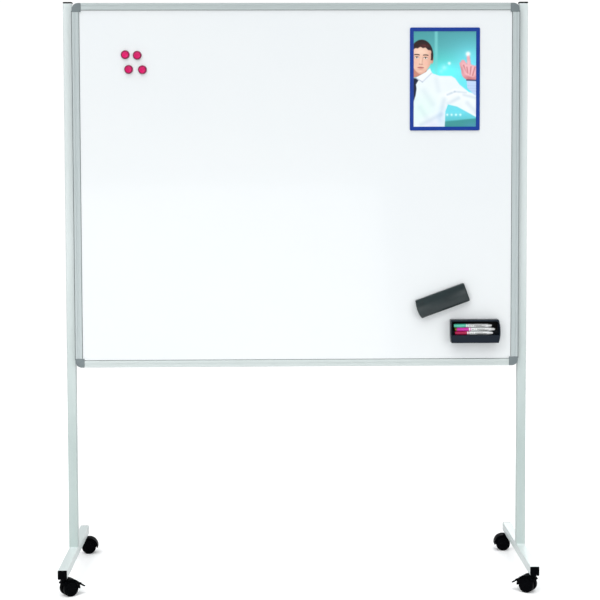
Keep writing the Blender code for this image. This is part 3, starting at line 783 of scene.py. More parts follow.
def brake_pedal(name, plastic):
    """Foot pedal with a rounded barrel, a tread of ribs, and a toe over the wheels."""
    outline = in_mm((-2.8, 0.8), *arc((0.4, 0), 2.7, 150, 60, 4), (4.5, 1.0), (9, -2.4), (17, -4.9),
                    *arc((18.8, -7.6), 1.8, 45, -75, 4), (14, -9), (8, -6.5), (3, -3), (-0.5, -4.5),
                    (-4, -9.6), (-6.8, -8.6), (-7.6, -7), (-3.5, -3))
    tread = []
    for step in range(5):
        bar = arc(((9.4 + 1.75 * step) * MM, (-2.55 - 0.55 * step) * MM), 0.6 * MM, 0, 315, 7)
        tread.append(prism(bar, "y", -PEDAL_HALF + 1.5 * MM, PEDAL_HALF - 1.5 * MM))
    pin = prism(arc((0, 0), 1.5 * MM, 0, 345, 23), "y", -PEDAL_HALF - 3 * MM, PEDAL_HALF + 3 * MM)
    solid = joined(prism(outline, "y", -PEDAL_HALF, PEDAL_HALF), pin, *tread)
    solid = moved(solid, Matrix.Rotation(PEDAL_DROOP, 4, "Y"))
    x, z = pedal_pivot()
    made = piece(f"castor_{name}_brake", solid, plastic, f"{name}_brake", [f"castor_{name}_pedal"],
                 castor_frame(name) @ Matrix.Translation((x, 0, z)), 30)
    bevel(made, 0.5 * MM, 3, 30)


def castor_stem(name, zinc):
    """Hexagon collar with a washer under the foot, and the pin that the hood swivels on."""
    under = low("foot_left").z
    collar = prism(hexagon(16.4 * MM), "z", HOOD_TOP + 0.3 * MM, under - 1 * MM)
    washer = turned([(0, under - 1.2 * MM), (9.6 * MM, under - 1.2 * MM), (10 * MM, under - 0.9 * MM),
                     (10 * MM, under - 0.5 * MM), (0, under - 0.3 * MM)], 36)
    pin = turned(in_mm((0, 39), (3, 39), (3.5, 39.5), (3.5, 57), (0, 57)), 24)
    made = piece(f"castor_{name}_pin", joined(collar, washer, pin), zinc, STAND, [f"castor_{name}_stem"],
                 castor_frame(name), 30)
    bevel(made, 0.25 * MM, 2, 40)


# Things held on the board

def magnet(number, plastic, rim_painted_shade):
    """A round magnet: a rim with a conical side, coloured darker as painted shade, and a dished face inside
    it.
    """
    node = f"magnet_{number}"
    start, end, centre = extent(node)
    r = (end.x - start.x) / 2
    h = end.y - start.y
    rim = [(r, 1.6 * MM), (r - 1.2 * MM, h - 2.4 * MM), *arc((r - 3.2 * MM, h - 2 * MM), 2 * MM, 15, 105, 8)]
    dish = [(r - 4.6 * MM, h - 0.5 * MM), (r - 5.8 * MM, h - 1.3 * MM), (r - 7.4 * MM, h - 1.9 * MM),
            (3 * MM, h - 2.3 * MM), (0, h - 2.35 * MM)]
    inside = r - 4.6 * MM
    parts = (("rim", [(0, 0), (r - 0.6 * MM, 0), (r, 0.6 * MM), *rim, dish[0], (inside, h - 3 * MM),
                      (0, h - 3 * MM)], rim_painted_shade),
             ("face", [(0, h - 3 * MM), (inside, h - 3 * MM), *dish], plastic))
    for part, profile, finish in parts:
        solid = moved(turned(profile, 72), Matrix.Rotation(pi / 2, 4, "X"))
        shifted(solid, centre.x, end.y, centre.z)
        piece(f"{node}_{part}", solid, finish, f"{node}_body", [node], sharp=50)


def frame_ring(width, height, inset, depth, radius):
    w, h = width / 2 - inset, height / 2 - inset
    return [(u, -depth, v) for u, v in rounded(-w, -h, w, h, radius, 6)]


def notice_frame(plastic):
    """Plastic frame: rolled outer edge, flat face that dips inwards, lip over the print."""
    node = "notice_frame"
    start, end, centre = extent(node)
    width, height = end.x - start.x, end.z - start.z
    bar = NOTICE_BAR
    # Inset, depth and corner radius of each ring, in millimetres
    section = [(0, 0, 5), (0, 2.4, 5), (0.35, 3.2, 4.8), (1.0, 3.75, 4.4), (2.0, 4.0, 3.8), (3.2, 3.95, 3.2),
               (9.6, 3.45, 1.6), (11.4, 3.15, 1.2), (12.6, 2.75, 0.9), (bar, 2.2, 0.7), (bar, 2.0, 0.7),
               (bar - 3, 2.0, 0.7), (bar - 3, 0, 0.7)]
    rings = [frame_ring(width, height, *(value * MM for value in ring)) for ring in section]
    solid = shifted(rings_to_solid(rings, closed=True), centre.x, end.y, centre.z)
    piece(f"{node}_moulding", solid, plastic, "notice", [node], sharp=35)


def eraser(plastic, pad):
    """Arched grip with a bowed left end and a bevelled right end, and the felt pad under it."""
    length, width, depth = ERASER_SIZE
    turn = Matrix.Translation(ERASER_PLACE) @ ERASER_TURN
    back = high("eraser_felt").y
    base, shoulder = 3 * MM, 11 * MM
    half = width / 2
    # Stations along the grip: distance from an end, and how much the section draws in there
    stations = [(0, 1.8 * MM, 1), (0.4 * MM, 0.9 * MM, 1), (1.2 * MM, 0.25 * MM, 1), (2.6 * MM, 0, 1),
                (-7 * MM, 0, 1), (-4 * MM, 0.5 * MM, 0.97), (-1.5 * MM, 1.1 * MM, 0.90),
                (-0.5 * MM, 1.9 * MM, 0.84), (0, 3.2 * MM, 0.76)]
    rings = []
    for index, (along, draw, tall) in enumerate(stations):
        at_right = index > 3
        w = half - draw
        top = (depth - base) * tall + base - draw
        rise = top - shoulder
        crown = [(w * cos(radians(a)), shoulder + rise * sin(radians(a)) ** 0.85) for a in range(0, 181, 9)]
        section = [(w - 0.8 * MM, base), (w, base + MM), *crown, (-w, base + MM), (-w + 0.8 * MM, base)]
        ring = []
        for u, v in section:
            x = length / 2 + along if at_right else -length / 2 + along + ERASER_BOW * (u / half) ** 2
            ring.append((x, back - v, u))
        rings.append(ring)
    piece("eraser_body", rings_to_solid(rings), plastic, "eraser", ["eraser_grip"], turn, 40)
    w, h = length / 2 - 12.5 * MM, half - 4.5 * MM
    solid = prism(rounded(-w, -h, w, h, 3 * MM), "y", back - 6 * MM, back)
    made = piece("eraser_pad", solid, pad, "eraser", ["eraser_felt"], turn)
    bevel(made, 0.6 * MM, 2)


def bowed_edge(w, h, inset, low_v, high_v):
    """Right edge of the holder's front view, drawn in by an inset, from one height to another."""
    heights = np.linspace(low_v, high_v, 17)
    return [(w - inset - HOLDER_BOW * (v / h) ** 2, v) for v in heights]


def marker_holder(plastic, pocket_shade):
    """Tray with a pocket for the markers, a rib for the rear one, and a hollow behind its lower front."""
    start, end, centre = extent("marker_holder")
    w, h = (end.x - start.x) / 2, (end.z - start.z) / 2
    left, floor, top = -w + HOLDER_WALL, -h + POCKET_FLOOR, h - HOLDER_LID
    wall = end.y - HOLDER_WALL
    shell = [(-w, -h + 24 * MM), (-w + 2.6 * MM, -h), *bowed_edge(w, h, 0, -h, h), (-w, h)]
    pocket = [(left, top), (left, floor), *bowed_edge(w, h, HOLDER_END, floor, top)]
    recess = rectangle(-w + 6 * MM, -h + 3 * MM, w - HOLDER_BOW - HOLDER_END, floor - 2.5 * MM)
    level = floor + high("marker_purple").z - low("marker_purple").z + 0.2 * MM
    rib = rectangle(-w + 24 * MM, level - 2 * MM, w - 24 * MM, level)
    changes = (("DIFFERENCE", prism(pocket, "y", start.y - 1 * MM, wall)),
               ("DIFFERENCE", prism(recess, "y", start.y + 3 * MM, end.y + 1 * MM)),
               ("UNION", prism(rib, "y", wall - 7.5 * MM, wall + 0.5 * MM)))
    solid = combined(prism(shell, "y", start.y, end.y), *changes)
    made = piece("holder_tray", shifted(solid, centre.x, 0, centre.z), plastic, "holder", ["marker_holder"])
    bevel(made, 0.8 * MM, 3, 40)
    # Thin near-black sheet on the pocket's back wall, above the rib: painted shade inside the pocket
    sheet = rectangle(left + 0.4 * MM, level + 0.6 * MM, w - HOLDER_END - 2.5 * MM, top - 0.4 * MM)
    pocket_shadow_sheet = prism(sheet, "y", wall - 0.1 * MM, wall)
    piece("holder_pocket_shadow", shifted(pocket_shadow_sheet, centre.x, 0, centre.z), pocket_shade, "holder")


def marker(colour, barrel, cap, rule):
    """A capped marker along x: clipped cap on the left, pale barrel with printed rules, tapered tail."""
    node = f"marker_{colour}"
    start, end, centre = extent(node)
    r = (end.z - start.z) / 2
    length = end.x - start.x
    cap_end = MARKER_CAP
    body = r - 0.4 * MM
    lathe = Matrix.Translation((start.x, centre.y, centre.z)) @ Matrix.Rotation(pi / 2, 4, "Y")
    shell = [(0, 0), (r - 3 * MM, 0), *arc((r - 2 * MM, 2 * MM), 2 * MM, -60, 0, 5), (r, cap_end - 0.6 * MM),
             (r - 0.3 * MM, cap_end), (0, cap_end)]
    clip = prism(rounded(-1.2 * MM, 5 * MM, 1.2 * MM, 32 * MM, 0.8 * MM, 3), "y", -r - 0.1 * MM, -r + 1 * MM)
    clip = moved(clip, Matrix.Rotation(pi / 2, 4, "Z"))
    tail = [(0, cap_end - 1 * MM), (body, cap_end - 1 * MM), (body, length - 13 * MM),
            (body - 0.4 * MM, length - 12.4 * MM), (body - 0.8 * MM, length - 12 * MM),
            (r - 2.2 * MM, length - 3 * MM), (r - 3.2 * MM, length - 0.8 * MM), (r - 3.8 * MM, length),
            (0, length)]
    rules = []
    # Printed rules: first and last distance from the left end, and turn about the barrel
    for first, last, turn in ((50, 58, 2), (68, 108, 12), (68, 94, -14), (60, 64, -10), (76, 104, 36)):
        outline = rectangle(-0.6 * MM, first * MM, 0.6 * MM, last * MM)
        bar = prism(outline, "y", -body - 0.04 * MM, -body + 0.5 * MM)
        rules.append(moved(bar, Matrix.Rotation(radians(turn), 4, "Z")))
    band = turned([(0, 46 * MM), (body + 0.03 * MM, 46 * MM), (body + 0.03 * MM, 48 * MM), (0, 48 * MM)], 40)
    parts = (("cap", joined(turned(shell, 40), clip), cap), ("barrel", turned(tail, 40), barrel),
             ("rules", joined(*rules), rule), ("band", band, cap))
    for part, solid, finish in parts:
        made = piece(f"{node}_{part}", solid, finish, f"{node}_body", [node], lathe, 40)


# The notice's print: a figure in a white shirt on a cyan ground, painted on a fine grid

class Ink:
    """Colours on a grid of points, in millimetres from the opening's top left corner, y down.

    Places are fractions of the opening's width and height, and sizes are millimetres.
    """

    def __init__(self, x, y, width, height):
        self.x, self.y = x, y
        self.width, self.height = width, height
        self.colour = np.ones((*x.shape, 3))

    def lay(self, colour, cover):
        """Paint an sRGB colour over what is there. cover is 0 to 1, at each point."""
        cover = np.clip(cover, 0, 1)[..., None]
        self.colour = self.colour * (1 - cover) + np.array(colour) * cover

    def area(self, distance, soft=1.2):
        """Cover from a distance that is negative inside."""
        return np.clip(0.5 - distance / (2 * soft), 0, 1)

    def at(self, place):
        return place[0] * self.width, place[1] * self.height

    def local(self, place, tilt=0.0):
        """The grid's points as seen from a place, tilted."""
        cx, cy = self.at(place)
        dx, dy = self.x - cx, self.y - cy
        return dx * cos(tilt) + dy * sin(tilt), dy * cos(tilt) - dx * sin(tilt)

    def glow(self, place, size, stretch=1.0):
        u, v = self.local(place)
        return np.exp(-((u / size) ** 2 + (v / (size * stretch)) ** 2))

    def ellipse(self, place, rx, ry, tilt=0.0):
        u, v = self.local(place, tilt)
        return (np.hypot(u / rx, v / ry) - 1) * min(rx, ry)

    def capsule(self, start, end, radius, end_radius=None):
        """Distance to a round-ended bar, tapered if it has two radii."""
        end_radius = radius if end_radius is None else end_radius
        (ax, ay), (bx, by) = self.at(start), self.at(end)
        length = (bx - ax) ** 2 + (by - ay) ** 2
        t = np.clip(((self.x - ax) * (bx - ax) + (self.y - ay) * (by - ay)) / length, 0, 1)
        away = np.hypot(self.x - ax - t * (bx - ax), self.y - ay - t * (by - ay))
        return away - (radius + (end_radius - radius) * t)

    def stroke(self, start, end, size, beside=0.0):
        """Cover that fades away from a line, or from a distance beside it."""
        return np.exp(-((self.capsule(start, end, 0) - beside) / size) ** 2)

    def polygon(self, *points):
        """Signed distance to a closed outline."""
        away = np.full(self.x.shape, 1e9)
        inside = np.zeros(self.x.shape, bool)
        for start, end in zip(points, points[1:] + points[:1]):
            away = np.minimum(away, self.capsule(start, end, 0))
            (ax, ay), (bx, by) = self.at(start), self.at(end)
            if ay != by:
                crosses = (self.y < ay) != (self.y < by)
                meets = ax + (self.y - ay) * (bx - ax) / (by - ay)
                inside ^= crosses & (self.x < meets)
        return np.where(inside, -away, away)


def paint_ground(ink):
    """Cyan ground: darker teal above, brightest behind the hand, with lights and a pale strip."""
    down = ink.y / ink.height
    across = ink.x / ink.width
    stops = (0, 0.15, 0.3, 0.42, 0.6, 0.85, 1)
    red = (0.30, 0.33, 0.34, 0.40, 0.38, 0.42, 0.30)
    green = (0.62, 0.68, 0.80, 0.92, 0.90, 0.86, 0.70)
    blue = (0.65, 0.70, 0.78, 0.92, 0.93, 0.92, 0.72)
    for channel, values in enumerate((red, green, blue)):
        ink.colour[..., channel] = np.interp(down, stops, values)
    ink.lay((0.27, 0.62, 0.62), ink.glow((0.1, 0), 60) * 0.5)
    ink.lay((0.47, 0.90, 0.98), ink.glow((0.95, 0.36), 70) * 0.9)
    ink.lay((0.40, 0.98, 0.99), ink.glow((0.55, 0.43), 38, 0.7))
    strip = ink.area(np.abs(across - 0.36) * ink.width - 5, 3) * np.clip(1.6 - down * 3, 0, 1)
    ink.lay((0.50, 0.84, 0.83), strip * 0.7)
    lights = (((0.87, 0.235), 7, 1), ((0.57, 0.335), 5, 0.95), ((0.49, 0.38), 9, 0.4),
              ((0.44, 0.42), 6, 0.25))
    for place, size, strength in lights:
        ink.lay((0.93, 1.0, 1.0), ink.glow(place, size) * strength)


def paint_desk(ink):
    """Lower right: a row of small lights over a darker band."""
    for u in (0.54, 0.61, 0.68, 0.75):
        ink.lay((0.90, 1.0, 1.0), ink.glow((u, 0.875), 4) * 0.95)
    edge = (0.945 - (ink.x / ink.width - 0.5) * 0.06) * ink.height
    ink.lay((0.22, 0.58, 0.58), ink.area(edge - ink.y, 2.5))
    ink.lay((0.28, 0.58, 0.72), ink.glow((0.95, 1.0), 30, 0.5) * 0.6)


def paint_shirt(ink):
    body = ink.polygon((-0.1, 1.1), (-0.1, 0.50), (0.04, 0.49), (0.14, 0.45), (0.25, 0.40), (0.30, 0.445),
                       (0.41, 0.47), (0.60, 0.472), (0.66, 0.495), (0.73, 0.56), (0.88, 0.64), (1.1, 0.68),
                       (1.1, 0.93), (0.95, 0.875), (0.70, 0.785), (0.545, 0.76), (0.50, 0.84), (0.485, 1.1))
    cloth = ink.area(body - 1.5, 1.8)
    ink.lay((0.925, 0.955, 0.965), cloth)
    ink.lay((0.86, 0.97, 0.94), cloth * ink.glow((0.12, 0.82), 55) * 0.7)
    ink.lay((0.80, 0.90, 0.99), cloth * ink.glow((0.46, 0.93), 26, 1.6) * 0.8)
    ink.lay((0.86, 0.88, 0.95), cloth * ink.glow((0.30, 0.98), 34, 0.7) * 0.8)
    # Folds: from, to, softness and strength, each with a light line beside it
    folds = (((0.54, 0.665), (0.66, 0.632), 3.6, 0.42), ((0.66, 0.632), (0.84, 0.642), 3.4, 0.32),
             ((0.56, 0.755), (0.72, 0.70), 6.5, 0.24), ((0.80, 0.665), (1.0, 0.70), 5.0, 0.22),
             ((0.42, 0.92), (0.49, 0.72), 9.0, 0.20), ((0.12, 0.98), (0.44, 0.87), 7.0, 0.20),
             ((0.36, 0.50), (0.40, 0.62), 9.0, 0.10), ((0.86, 0.75), (1.0, 0.85), 7.0, 0.18),
             ((0.16, 0.62), (0.30, 0.76), 10.0, 0.10), ((0.10, 0.80), (0.20, 0.90), 9.0, 0.10))
    for start, end, size, strength in folds:
        ink.lay((0.64, 0.72, 0.80), cloth * ink.stroke(start, end, size) * strength)
        ink.lay((1.0, 1.0, 1.0), cloth * ink.stroke(start, end, size, 1.8 * size) * strength * 0.8)
    forearm = ink.polygon((0.85, 0.515), (1.1, 0.515), (1.1, 0.70), (0.97, 0.665), (0.86, 0.595))
    sleeve = ink.area(forearm, 1.8)
    ink.lay((0.76, 0.84, 0.96), sleeve)
    for v in (0.545, 0.572, 0.60):
        crease = np.exp(-((ink.y - v * ink.height - 0.04 * ink.x) / 2.0) ** 2)
        ink.lay((0.62, 0.72, 0.88), sleeve * crease * 0.35)


def paint_hand(ink):
    """Raised hand: index finger up, thumb out to the left, the others folded, and a cuff below."""
    skin, shade, light = (0.92, 0.66, 0.69), (0.78, 0.42, 0.44), (0.97, 0.81, 0.83)
    parts = (ink.capsule((0.875, 0.262), (0.888, 0.37), 4.8, 7.5), ink.ellipse((0.885, 0.425), 25, 26, 0.2),
             ink.capsule((0.768, 0.340), (0.83, 0.44), 7.0, 11),
             ink.capsule((0.79, 0.318), (0.86, 0.40), 6.5, 10),
             ink.capsule((0.955, 0.375), (0.93, 0.46), 6.5, 9),
             ink.capsule((1.01, 0.372), (0.97, 0.47), 6.0, 9),
             ink.ellipse((0.93, 0.472), 24, 14))
    for distance in parts:
        ink.lay(skin, ink.area(distance, 1.8))
    hand = ink.area(np.minimum.reduce(parts), 1.5)
    ink.lay(shade, hand * ink.glow((0.90, 0.495), 24, 0.42) * 0.75)
    ink.lay(shade, hand * ink.glow((0.765, 0.40), 9, 1.6) * 0.5)
    creases = (((0.80, 0.355), (0.85, 0.43)), ((0.852, 0.375), (0.872, 0.44)),
               ((0.918, 0.372), (0.905, 0.45)), ((0.982, 0.375), (0.945, 0.46)))
    for start, end in creases:
        ink.lay(shade, hand * ink.stroke(start, end, 2.2) * 0.75)
        ink.lay(light, hand * ink.stroke(start, end, 2.6, 5.2) * 0.4)
    ink.lay(light, hand * ink.glow((0.88, 0.33), 5, 2.4) * 0.5)
    ink.lay((0.97, 0.99, 1.0), ink.glow((0.872, 0.240), 6.5))
    ink.lay((0.07, 0.12, 0.30), ink.area(ink.capsule((0.85, 0.510), (1.05, 0.516), 2.0), 1.4) * 0.9)


def paint_neck(ink):
    """Neck, collar with its edge and fold, and tie."""
    neck = ink.polygon((-0.1, 0.36), (0.25, 0.36), (0.20, 0.425), (0.05, 0.478), (-0.1, 0.50))
    ink.lay((0.78, 0.52, 0.45), ink.area(neck, 1.6))
    collar = ink.polygon((0.035, 0.485), (0.20, 0.425), (0.262, 0.385), (0.285, 0.435), (0.20, 0.50),
                         (0.14, 0.53))
    ink.lay((0.95, 0.97, 0.98), ink.area(collar, 1.4))
    ink.lay((0.66, 0.72, 0.80), ink.stroke((0.14, 0.53), (0.285, 0.437), 2.2) * 0.45)
    ink.lay((0.60, 0.66, 0.76), ink.stroke((0.04, 0.487), (0.14, 0.53), 1.8) * 0.5)
    tie = ink.polygon((-0.1, 0.485), (0.035, 0.492), (0.075, 0.512), (0.035, 0.556), (0.045, 0.60),
                      (0.03, 0.67), (-0.01, 0.75), (-0.1, 0.75))
    ink.lay((0.05, 0.09, 0.20), ink.area(tie, 1.3))


def paint_head(ink):
    """A head with a plain face on even proportions: eyes at half its height, each a fifth of its width."""
    x, y = ink.local(HEAD_PLACE, HEAD_TILT)
    x, y = x / HEAD_HALF[0], y / HEAD_HALF[1]
    skin, shade, light = (0.94, 0.77, 0.68), (0.80, 0.53, 0.46), (0.98, 0.86, 0.78)
    fold, lash, hair_colour = (0.78, 0.52, 0.45), (0.25, 0.15, 0.13), (0.13, 0.06, 0.07)

    def cover(distance, soft=0.03):
        return ink.area(distance, soft)

    def spot(at_x, at_y, wide, tall):
        return np.exp(-((x - at_x) / wide) ** 2 - ((y - at_y) / tall) ** 2)
    narrow = np.where(y > 0, 1 - 0.30 * np.clip(y, 0, 1.1) ** 2, 1 - 0.03 * y ** 2)
    face = cover((np.hypot(x / (0.93 * narrow), y) - 1) * 0.9)
    ear = np.hypot((np.abs(x) - 0.95) / 0.11, (y - 0.10) / 0.24) - 1
    ink.lay((0.84, 0.58, 0.50), cover(ear * 0.1))
    ink.lay(skin, face)
    ink.lay(shade, face * np.clip((x - 0.35) * 1.5, 0, 1) ** 1.5 * 0.75)
    ink.lay(shade, face * np.clip((y - 0.62) * 1.7, 0, 1) * 0.5)
    ink.lay(light, face * spot(-0.1, -0.38, 0.5, 0.2) * 0.7)
    for side in (-1, 1):
        eye_x = side * 0.38
        ink.lay((0.86, 0.60, 0.52), face * spot(eye_x, 0, 0.24, 0.10) * 0.55)
        ink.lay((0.95, 0.72, 0.66), face * spot(side * 0.42, 0.33, 0.2, 0.14) * 0.6)
        white = np.hypot((x - eye_x) / 0.17, (y - 0.005) / 0.055) - 1
        ink.lay((0.95, 0.95, 0.95), cover(white * 0.06, 0.012))
        iris = np.hypot((x - eye_x) / 0.068, y / 0.05) - 1
        ink.lay((0.30, 0.22, 0.18), cover(np.maximum(iris, white) * 0.05, 0.01))
        lid = np.abs(y - (-0.052 + 1.5 * (x - eye_x) ** 2))
        ink.lay(lash, cover(np.maximum(lid - 0.014, np.abs(x - eye_x) - 0.19), 0.012) * 0.9)
        brow = np.abs(y - (-0.175 + 0.5 * (np.abs(x) - 0.36) ** 2 - 0.02 * np.abs(x)))
        brows = np.maximum(brow - 0.026, np.abs(np.abs(x) - 0.38) - 0.22)
        ink.lay((0.17, 0.09, 0.08), cover(brows, 0.016) * 0.85)
    ink.lay(fold, face * spot(0.10, 0.18, 0.05, 0.2) * 0.55)
    ink.lay((0.99, 0.88, 0.80), face * spot(0, 0.16, 0.045, 0.2) * 0.7)
    for side in (-1, 1):
        ink.lay((0.52, 0.27, 0.23), spot(side * 0.095, 0.395, 0.045, 0.022) * 0.75)
    ink.lay((0.72, 0.46, 0.40), spot(0, 0.425, 0.16, 0.03) * 0.5)
    lips = np.hypot(x / 0.27, (y - 0.615) / 0.062) - 1
    ink.lay((0.80, 0.46, 0.45), cover(lips * 0.06, 0.016) * 0.85)
    parting = np.abs(y - (0.612 - 0.10 * x ** 2))
    ink.lay((0.45, 0.20, 0.20), cover(np.maximum(parting - 0.008, np.abs(x) - 0.27), 0.012) * 0.85)
    ink.lay(fold, face * spot(0, 0.735, 0.2, 0.03) * 0.5)
    ink.lay((0.98, 0.84, 0.76), face * spot(0, 0.84, 0.2, 0.06) * 0.5)
    # Short hair: a cap over the skull down to an uneven hairline, and sideburns
    cap = np.hypot(x / 1.03, (y + 0.10) / 1.0) - 1
    hairline = -0.63 + 0.36 * np.clip(np.abs(x) - 0.12, 0, 1) ** 1.6 + 0.03 * np.sin(x * 14)
    hair = np.maximum(cap, y - np.where(np.abs(x) > 0.83, 0.12, hairline))
    ink.lay(hair_colour, cover(hair, 0.035))
    strands = 0.5 + 0.5 * np.sin((x * 0.8 + y * 0.3) * 60 + 3 * np.sin(y * 9))
    ink.lay((0.45, 0.17, 0.17), cover(hair, 0.03) * spot(0.25, -0.75, 0.45, 0.10) * (0.45 + 0.35 * strands))


def notice_print(paper):
    """The printed sheet behind the frame's lip, its picture on a grid of about one millimetre."""
    node = "notice_print"
    start, end = low(node), high(node)
    columns = round((end.x - start.x) / GRID)
    rows = round((end.z - start.z) / GRID)
    frame_low, frame_high = low("notice_frame"), high("notice_frame")
    bar = NOTICE_BAR * MM
    width = (frame_high.x - frame_low.x - 2 * bar) / MM
    height = (frame_high.z - frame_low.z - 2 * bar) / MM
    solid = bmesh.new()
    xs = np.linspace(start.x, end.x, columns + 1)
    zs = np.linspace(end.z, start.z, rows + 1)
    points = [[solid.verts.new((x, start.y, z)) for x in xs] for z in zs]
    for upper, lower in zip(points, points[1:]):
        for i in range(columns):
            solid.faces.new((upper[i], lower[i], lower[i + 1], upper[i + 1]))
    made = piece("notice_picture", solid, paper, "notice", [node])
    x, z = np.meshgrid(xs, zs)
    ink = Ink((x - frame_low.x - bar) / MM, (frame_high.z - bar - z) / MM, width, height)
    for paint in (paint_ground, paint_desk, paint_shirt, paint_neck, paint_head, paint_hand):
        paint(ink)
    colour = np.clip(ink.colour, 0, 1)
    linear = np.where(colour < 0.04045, colour / 12.92, ((colour + 0.055) / 1.055) ** 2.4)
    layer = made.data.color_attributes.new("ink", "FLOAT_COLOR", "POINT")
    layer.data.foreach_set("color", np.dstack([linear, np.ones(x.shape)]).astype(np.float32).ravel())
    made.data.color_attributes.render_color_index = 0
    backing = prism(rectangle(start.x, start.z, end.x, end.z), "y", start.y + 0.05 * MM, end.y)
    piece("notice_backing", backing, paper_back(), "notice")


# Studio

def studio():
    """White surroundings, a soft top light and the area lights."""
    scene = bpy.context.scene
    scene.view_settings.view_transform = "Standard"
    world = bpy.data.worlds.new("studio")
    scene.world = world
    world.use_nodes = True
    tree = world.node_tree
    seen = set_inputs(tree.nodes["Background"], Color=(1, 1, 1, 1), Strength=BACKGROUND)
    light = add_node(tree, "ShaderNodeBackground", Color=(0.95, 0.98, 1.0, 1), Strength=SKY_LIGHT)
    path = tree.nodes.new("ShaderNodeLightPath")
    mix = tree.nodes.new("ShaderNodeMixShader")
    tree.links.new(path.outputs["Is Camera Ray"], mix.inputs["Fac"])
    tree.links.new(light.outputs["Background"], mix.inputs[1])
    tree.links.new(seen.outputs["Background"], mix.inputs[2])
    tree.links.new(mix.outputs["Shader"], tree.nodes["World Output"].inputs["Surface"])

    top = bpy.data.lights.new("top_light", "SUN")
    top.energy = TOP_LIGHT
    top.angle = TOP_SPREAD
    lamp = bpy.data.objects.new("top_light", top)
    lamp.rotation_euler = TOP_TURN
    lamp.visible_glossy = False
    scene.collection.objects.link(lamp)

    for name, (size, energy, place) in AREA_LIGHTS.items():
        data = bpy.data.lights.new(name, "AREA")
        data.shape = "RECTANGLE"
        data.size, data.size_y = size
        data.energy = energy
        lamp = bpy.data.objects.new(name, data)
        lamp.location = place
        aim = LIGHT_AIM - lamp.location
        lamp.rotation_euler = aim.to_track_quat("-Z", "Y").to_euler()
        lamp.visible_camera = False
        scene.collection.objects.link(lamp)


def floor(finish):
    """A round floor. Its material fades out towards the edge."""
    solid = bmesh.new()
    bmesh.ops.create_circle(solid, cap_ends=True, segments=96, radius=FLOOR_RADIUS)
    made = piece("studio_floor", solid, finish)


def floor_finish():
    """Matt white that turns transparent towards the floor's edge."""
    made = bpy.data.materials.new("studio_floor")
    made.use_nodes = True
    tree = made.node_tree
    shader = set_inputs(tree.nodes["Principled BSDF"], Roughness=0.9, Emission_Color=(1, 1, 1, 1))
    path = tree.nodes.new("ShaderNodeLightPath")
    shade = add_node(tree, "ShaderNodeMapRange", To_Min=0.97, To_Max=FLOOR_BOUNCE)
    tree.links.new(path.outputs["Is Diffuse Ray"], shade.inputs["Value"])
    tree.links.new(shade.outputs["Result"], shader.inputs["Base Color"])
    lift = tree.nodes.new("ShaderNodeMath")
    lift.operation = "MULTIPLY"
    lift.inputs[1].default_value = FLOOR_GLOW
    tree.links.new(path.outputs["Is Camera Ray"], lift.inputs[0])
    tree.links.new(lift.outputs["Value"], shader.inputs["Emission Strength"])
    place = tree.nodes.new("ShaderNodeTexCoord")
    length = tree.nodes.new("ShaderNodeVectorMath")
    length.operation = "LENGTH"
    tree.links.new(place.outputs["Object"], length.inputs[0])
    fade = add_node(tree, "ShaderNodeMapRange", From_Min=FLOOR_RADIUS * 0.45,
                    From_Max=FLOOR_RADIUS * 0.98, To_Min=1.0, To_Max=0.0)
    tree.links.new(length.outputs["Value"], fade.inputs["Value"])
    tree.links.new(fade.outputs["Result"], shader.inputs["Alpha"])
    return made


def camera():
    data = bpy.data.cameras.new("camera")
    data.lens = CAMERA_LENS
    data.sensor_width = 36
    data.shift_x, data.shift_y = CAMERA_SHIFT
    data.clip_end = 100
    ahead = Vector((sin(CAMERA_YAW) * cos(CAMERA_PITCH), cos(CAMERA_YAW) * cos(CAMERA_PITCH),
                    -sin(CAMERA_PITCH)))
    level = Vector((cos(CAMERA_YAW), -sin(CAMERA_YAW), 0))
    upright = level.cross(ahead)
    right = cos(CAMERA_ROLL) * level + sin(CAMERA_ROLL) * upright
    up = right.cross(ahead)
    made = bpy.data.objects.new("camera", data)
    made.matrix_world = Matrix.Translation(CAMERA_PLACE) @ Matrix((right, up, -ahead)).transposed().to_4x4()
    bpy.context.scene.collection.objects.link(made)
    bpy.context.scene.camera = made


# Build

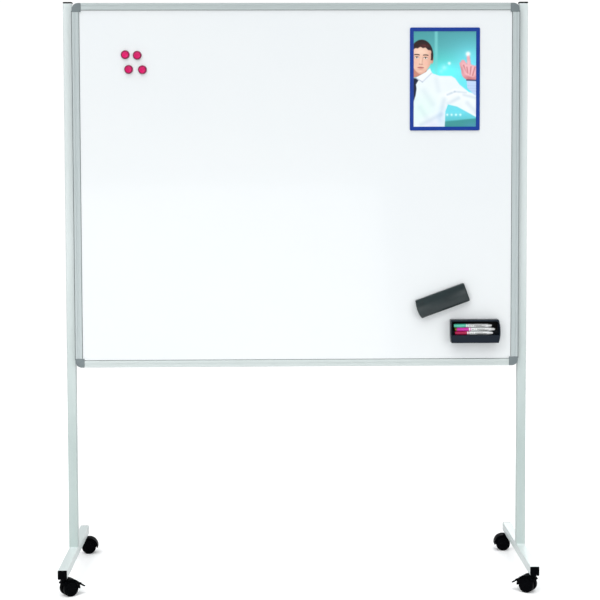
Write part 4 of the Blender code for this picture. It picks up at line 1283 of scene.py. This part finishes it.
steel = painted_steel()
black = moulded("black_moulding", "black_plastic", (0.0018, 0.0021, 0.0028), 0.36, specular=0.01)
nylon = moulded("castor_nylon_black", "castor_nylon", (0.0020, 0.0023, 0.0030), 0.40, specular=0.015)
zinc = zinc_plate()
stand(steel, black)
# The bottom rail gets a lighter copy of the same anodising: painted light on the lower rail.
rails(anodised("anodised_upright", "z", (0.50, 0.56, 0.565)),
      anodised("anodised_upper", "x", (0.51, 0.57, 0.57)),
      anodised("anodised_lower_painted_light", "x", (0.62, 0.68, 0.67)))
shadow_strips(shadow_strip_finish())
corner_caps(moulded("corner_grey", "grey_plastic", (0.175, 0.21, 0.22), 0.42))
for node, finish in (("writing_sheet", enamel()), ("backing_sheet", zinc_sheet()),
                     ("panel_core", honeycomb_card())):
    refinish(node, finish)
brackets(zinc)
for name in ("front_left", "front_right", "rear_left", "rear_right"):
    braked = name.startswith("front")
    castor_stem(name, zinc)
    castor_hood(name, braked, black)
    castor_wheel(name, "a", -1, nylon)
    castor_wheel(name, "b", 1, nylon)
    refinish(f"castor_{name}_axle", zinc)
    if braked:
        brake_pedal(name, black)
raspberry = moulded("raspberry_moulding", "raspberry_plastic", (0.72, 0.003, 0.14), 0.3, 0.7, 0.3)
# A darker copy of the raspberry moulding for the rims: painted shade.
raspberry_shaded = moulded("raspberry_rim_painted_shade", "raspberry_plastic", (0.26, 0.004, 0.06), 0.3, 0.7, 0.3)
for number in range(1, 5):
    magnet(number, raspberry, raspberry_shaded)
notice_frame(moulded("blue_moulding", "blue_plastic", (0.004, 0.040, 0.30), 0.34, specular=0.3))
notice_print(printed_sheet())
eraser(moulded("slate_moulding", "slate_plastic", (0.013, 0.024, 0.026), 0.30, 0.6, 0.45), felt())
# The pocket's near-black copy of the navy moulding is painted shade.
marker_holder(moulded("navy_moulding", "navy_plastic", (0.0055, 0.011, 0.020), 0.40, specular=0.18),
              moulded("pocket_shadow_black", "navy_plastic", (0.002, 0.002, 0.003), 0.6, specular=0.1))
for colour, value in CAP_COLOURS.items():
    slot = f"marker_{colour}"
    barrel = moulded(f"barrel_{colour}", slot, (0.70, 0.72, 0.72), 0.34, 0.95)
    rule = moulded(f"rule_{colour}", slot, (0.03, 0.03, 0.035), 0.5)
    marker(colour, barrel, moulded(f"cap_{colour}", slot, value, 0.3), rule)
floor(floor_finish())
studio()
camera()
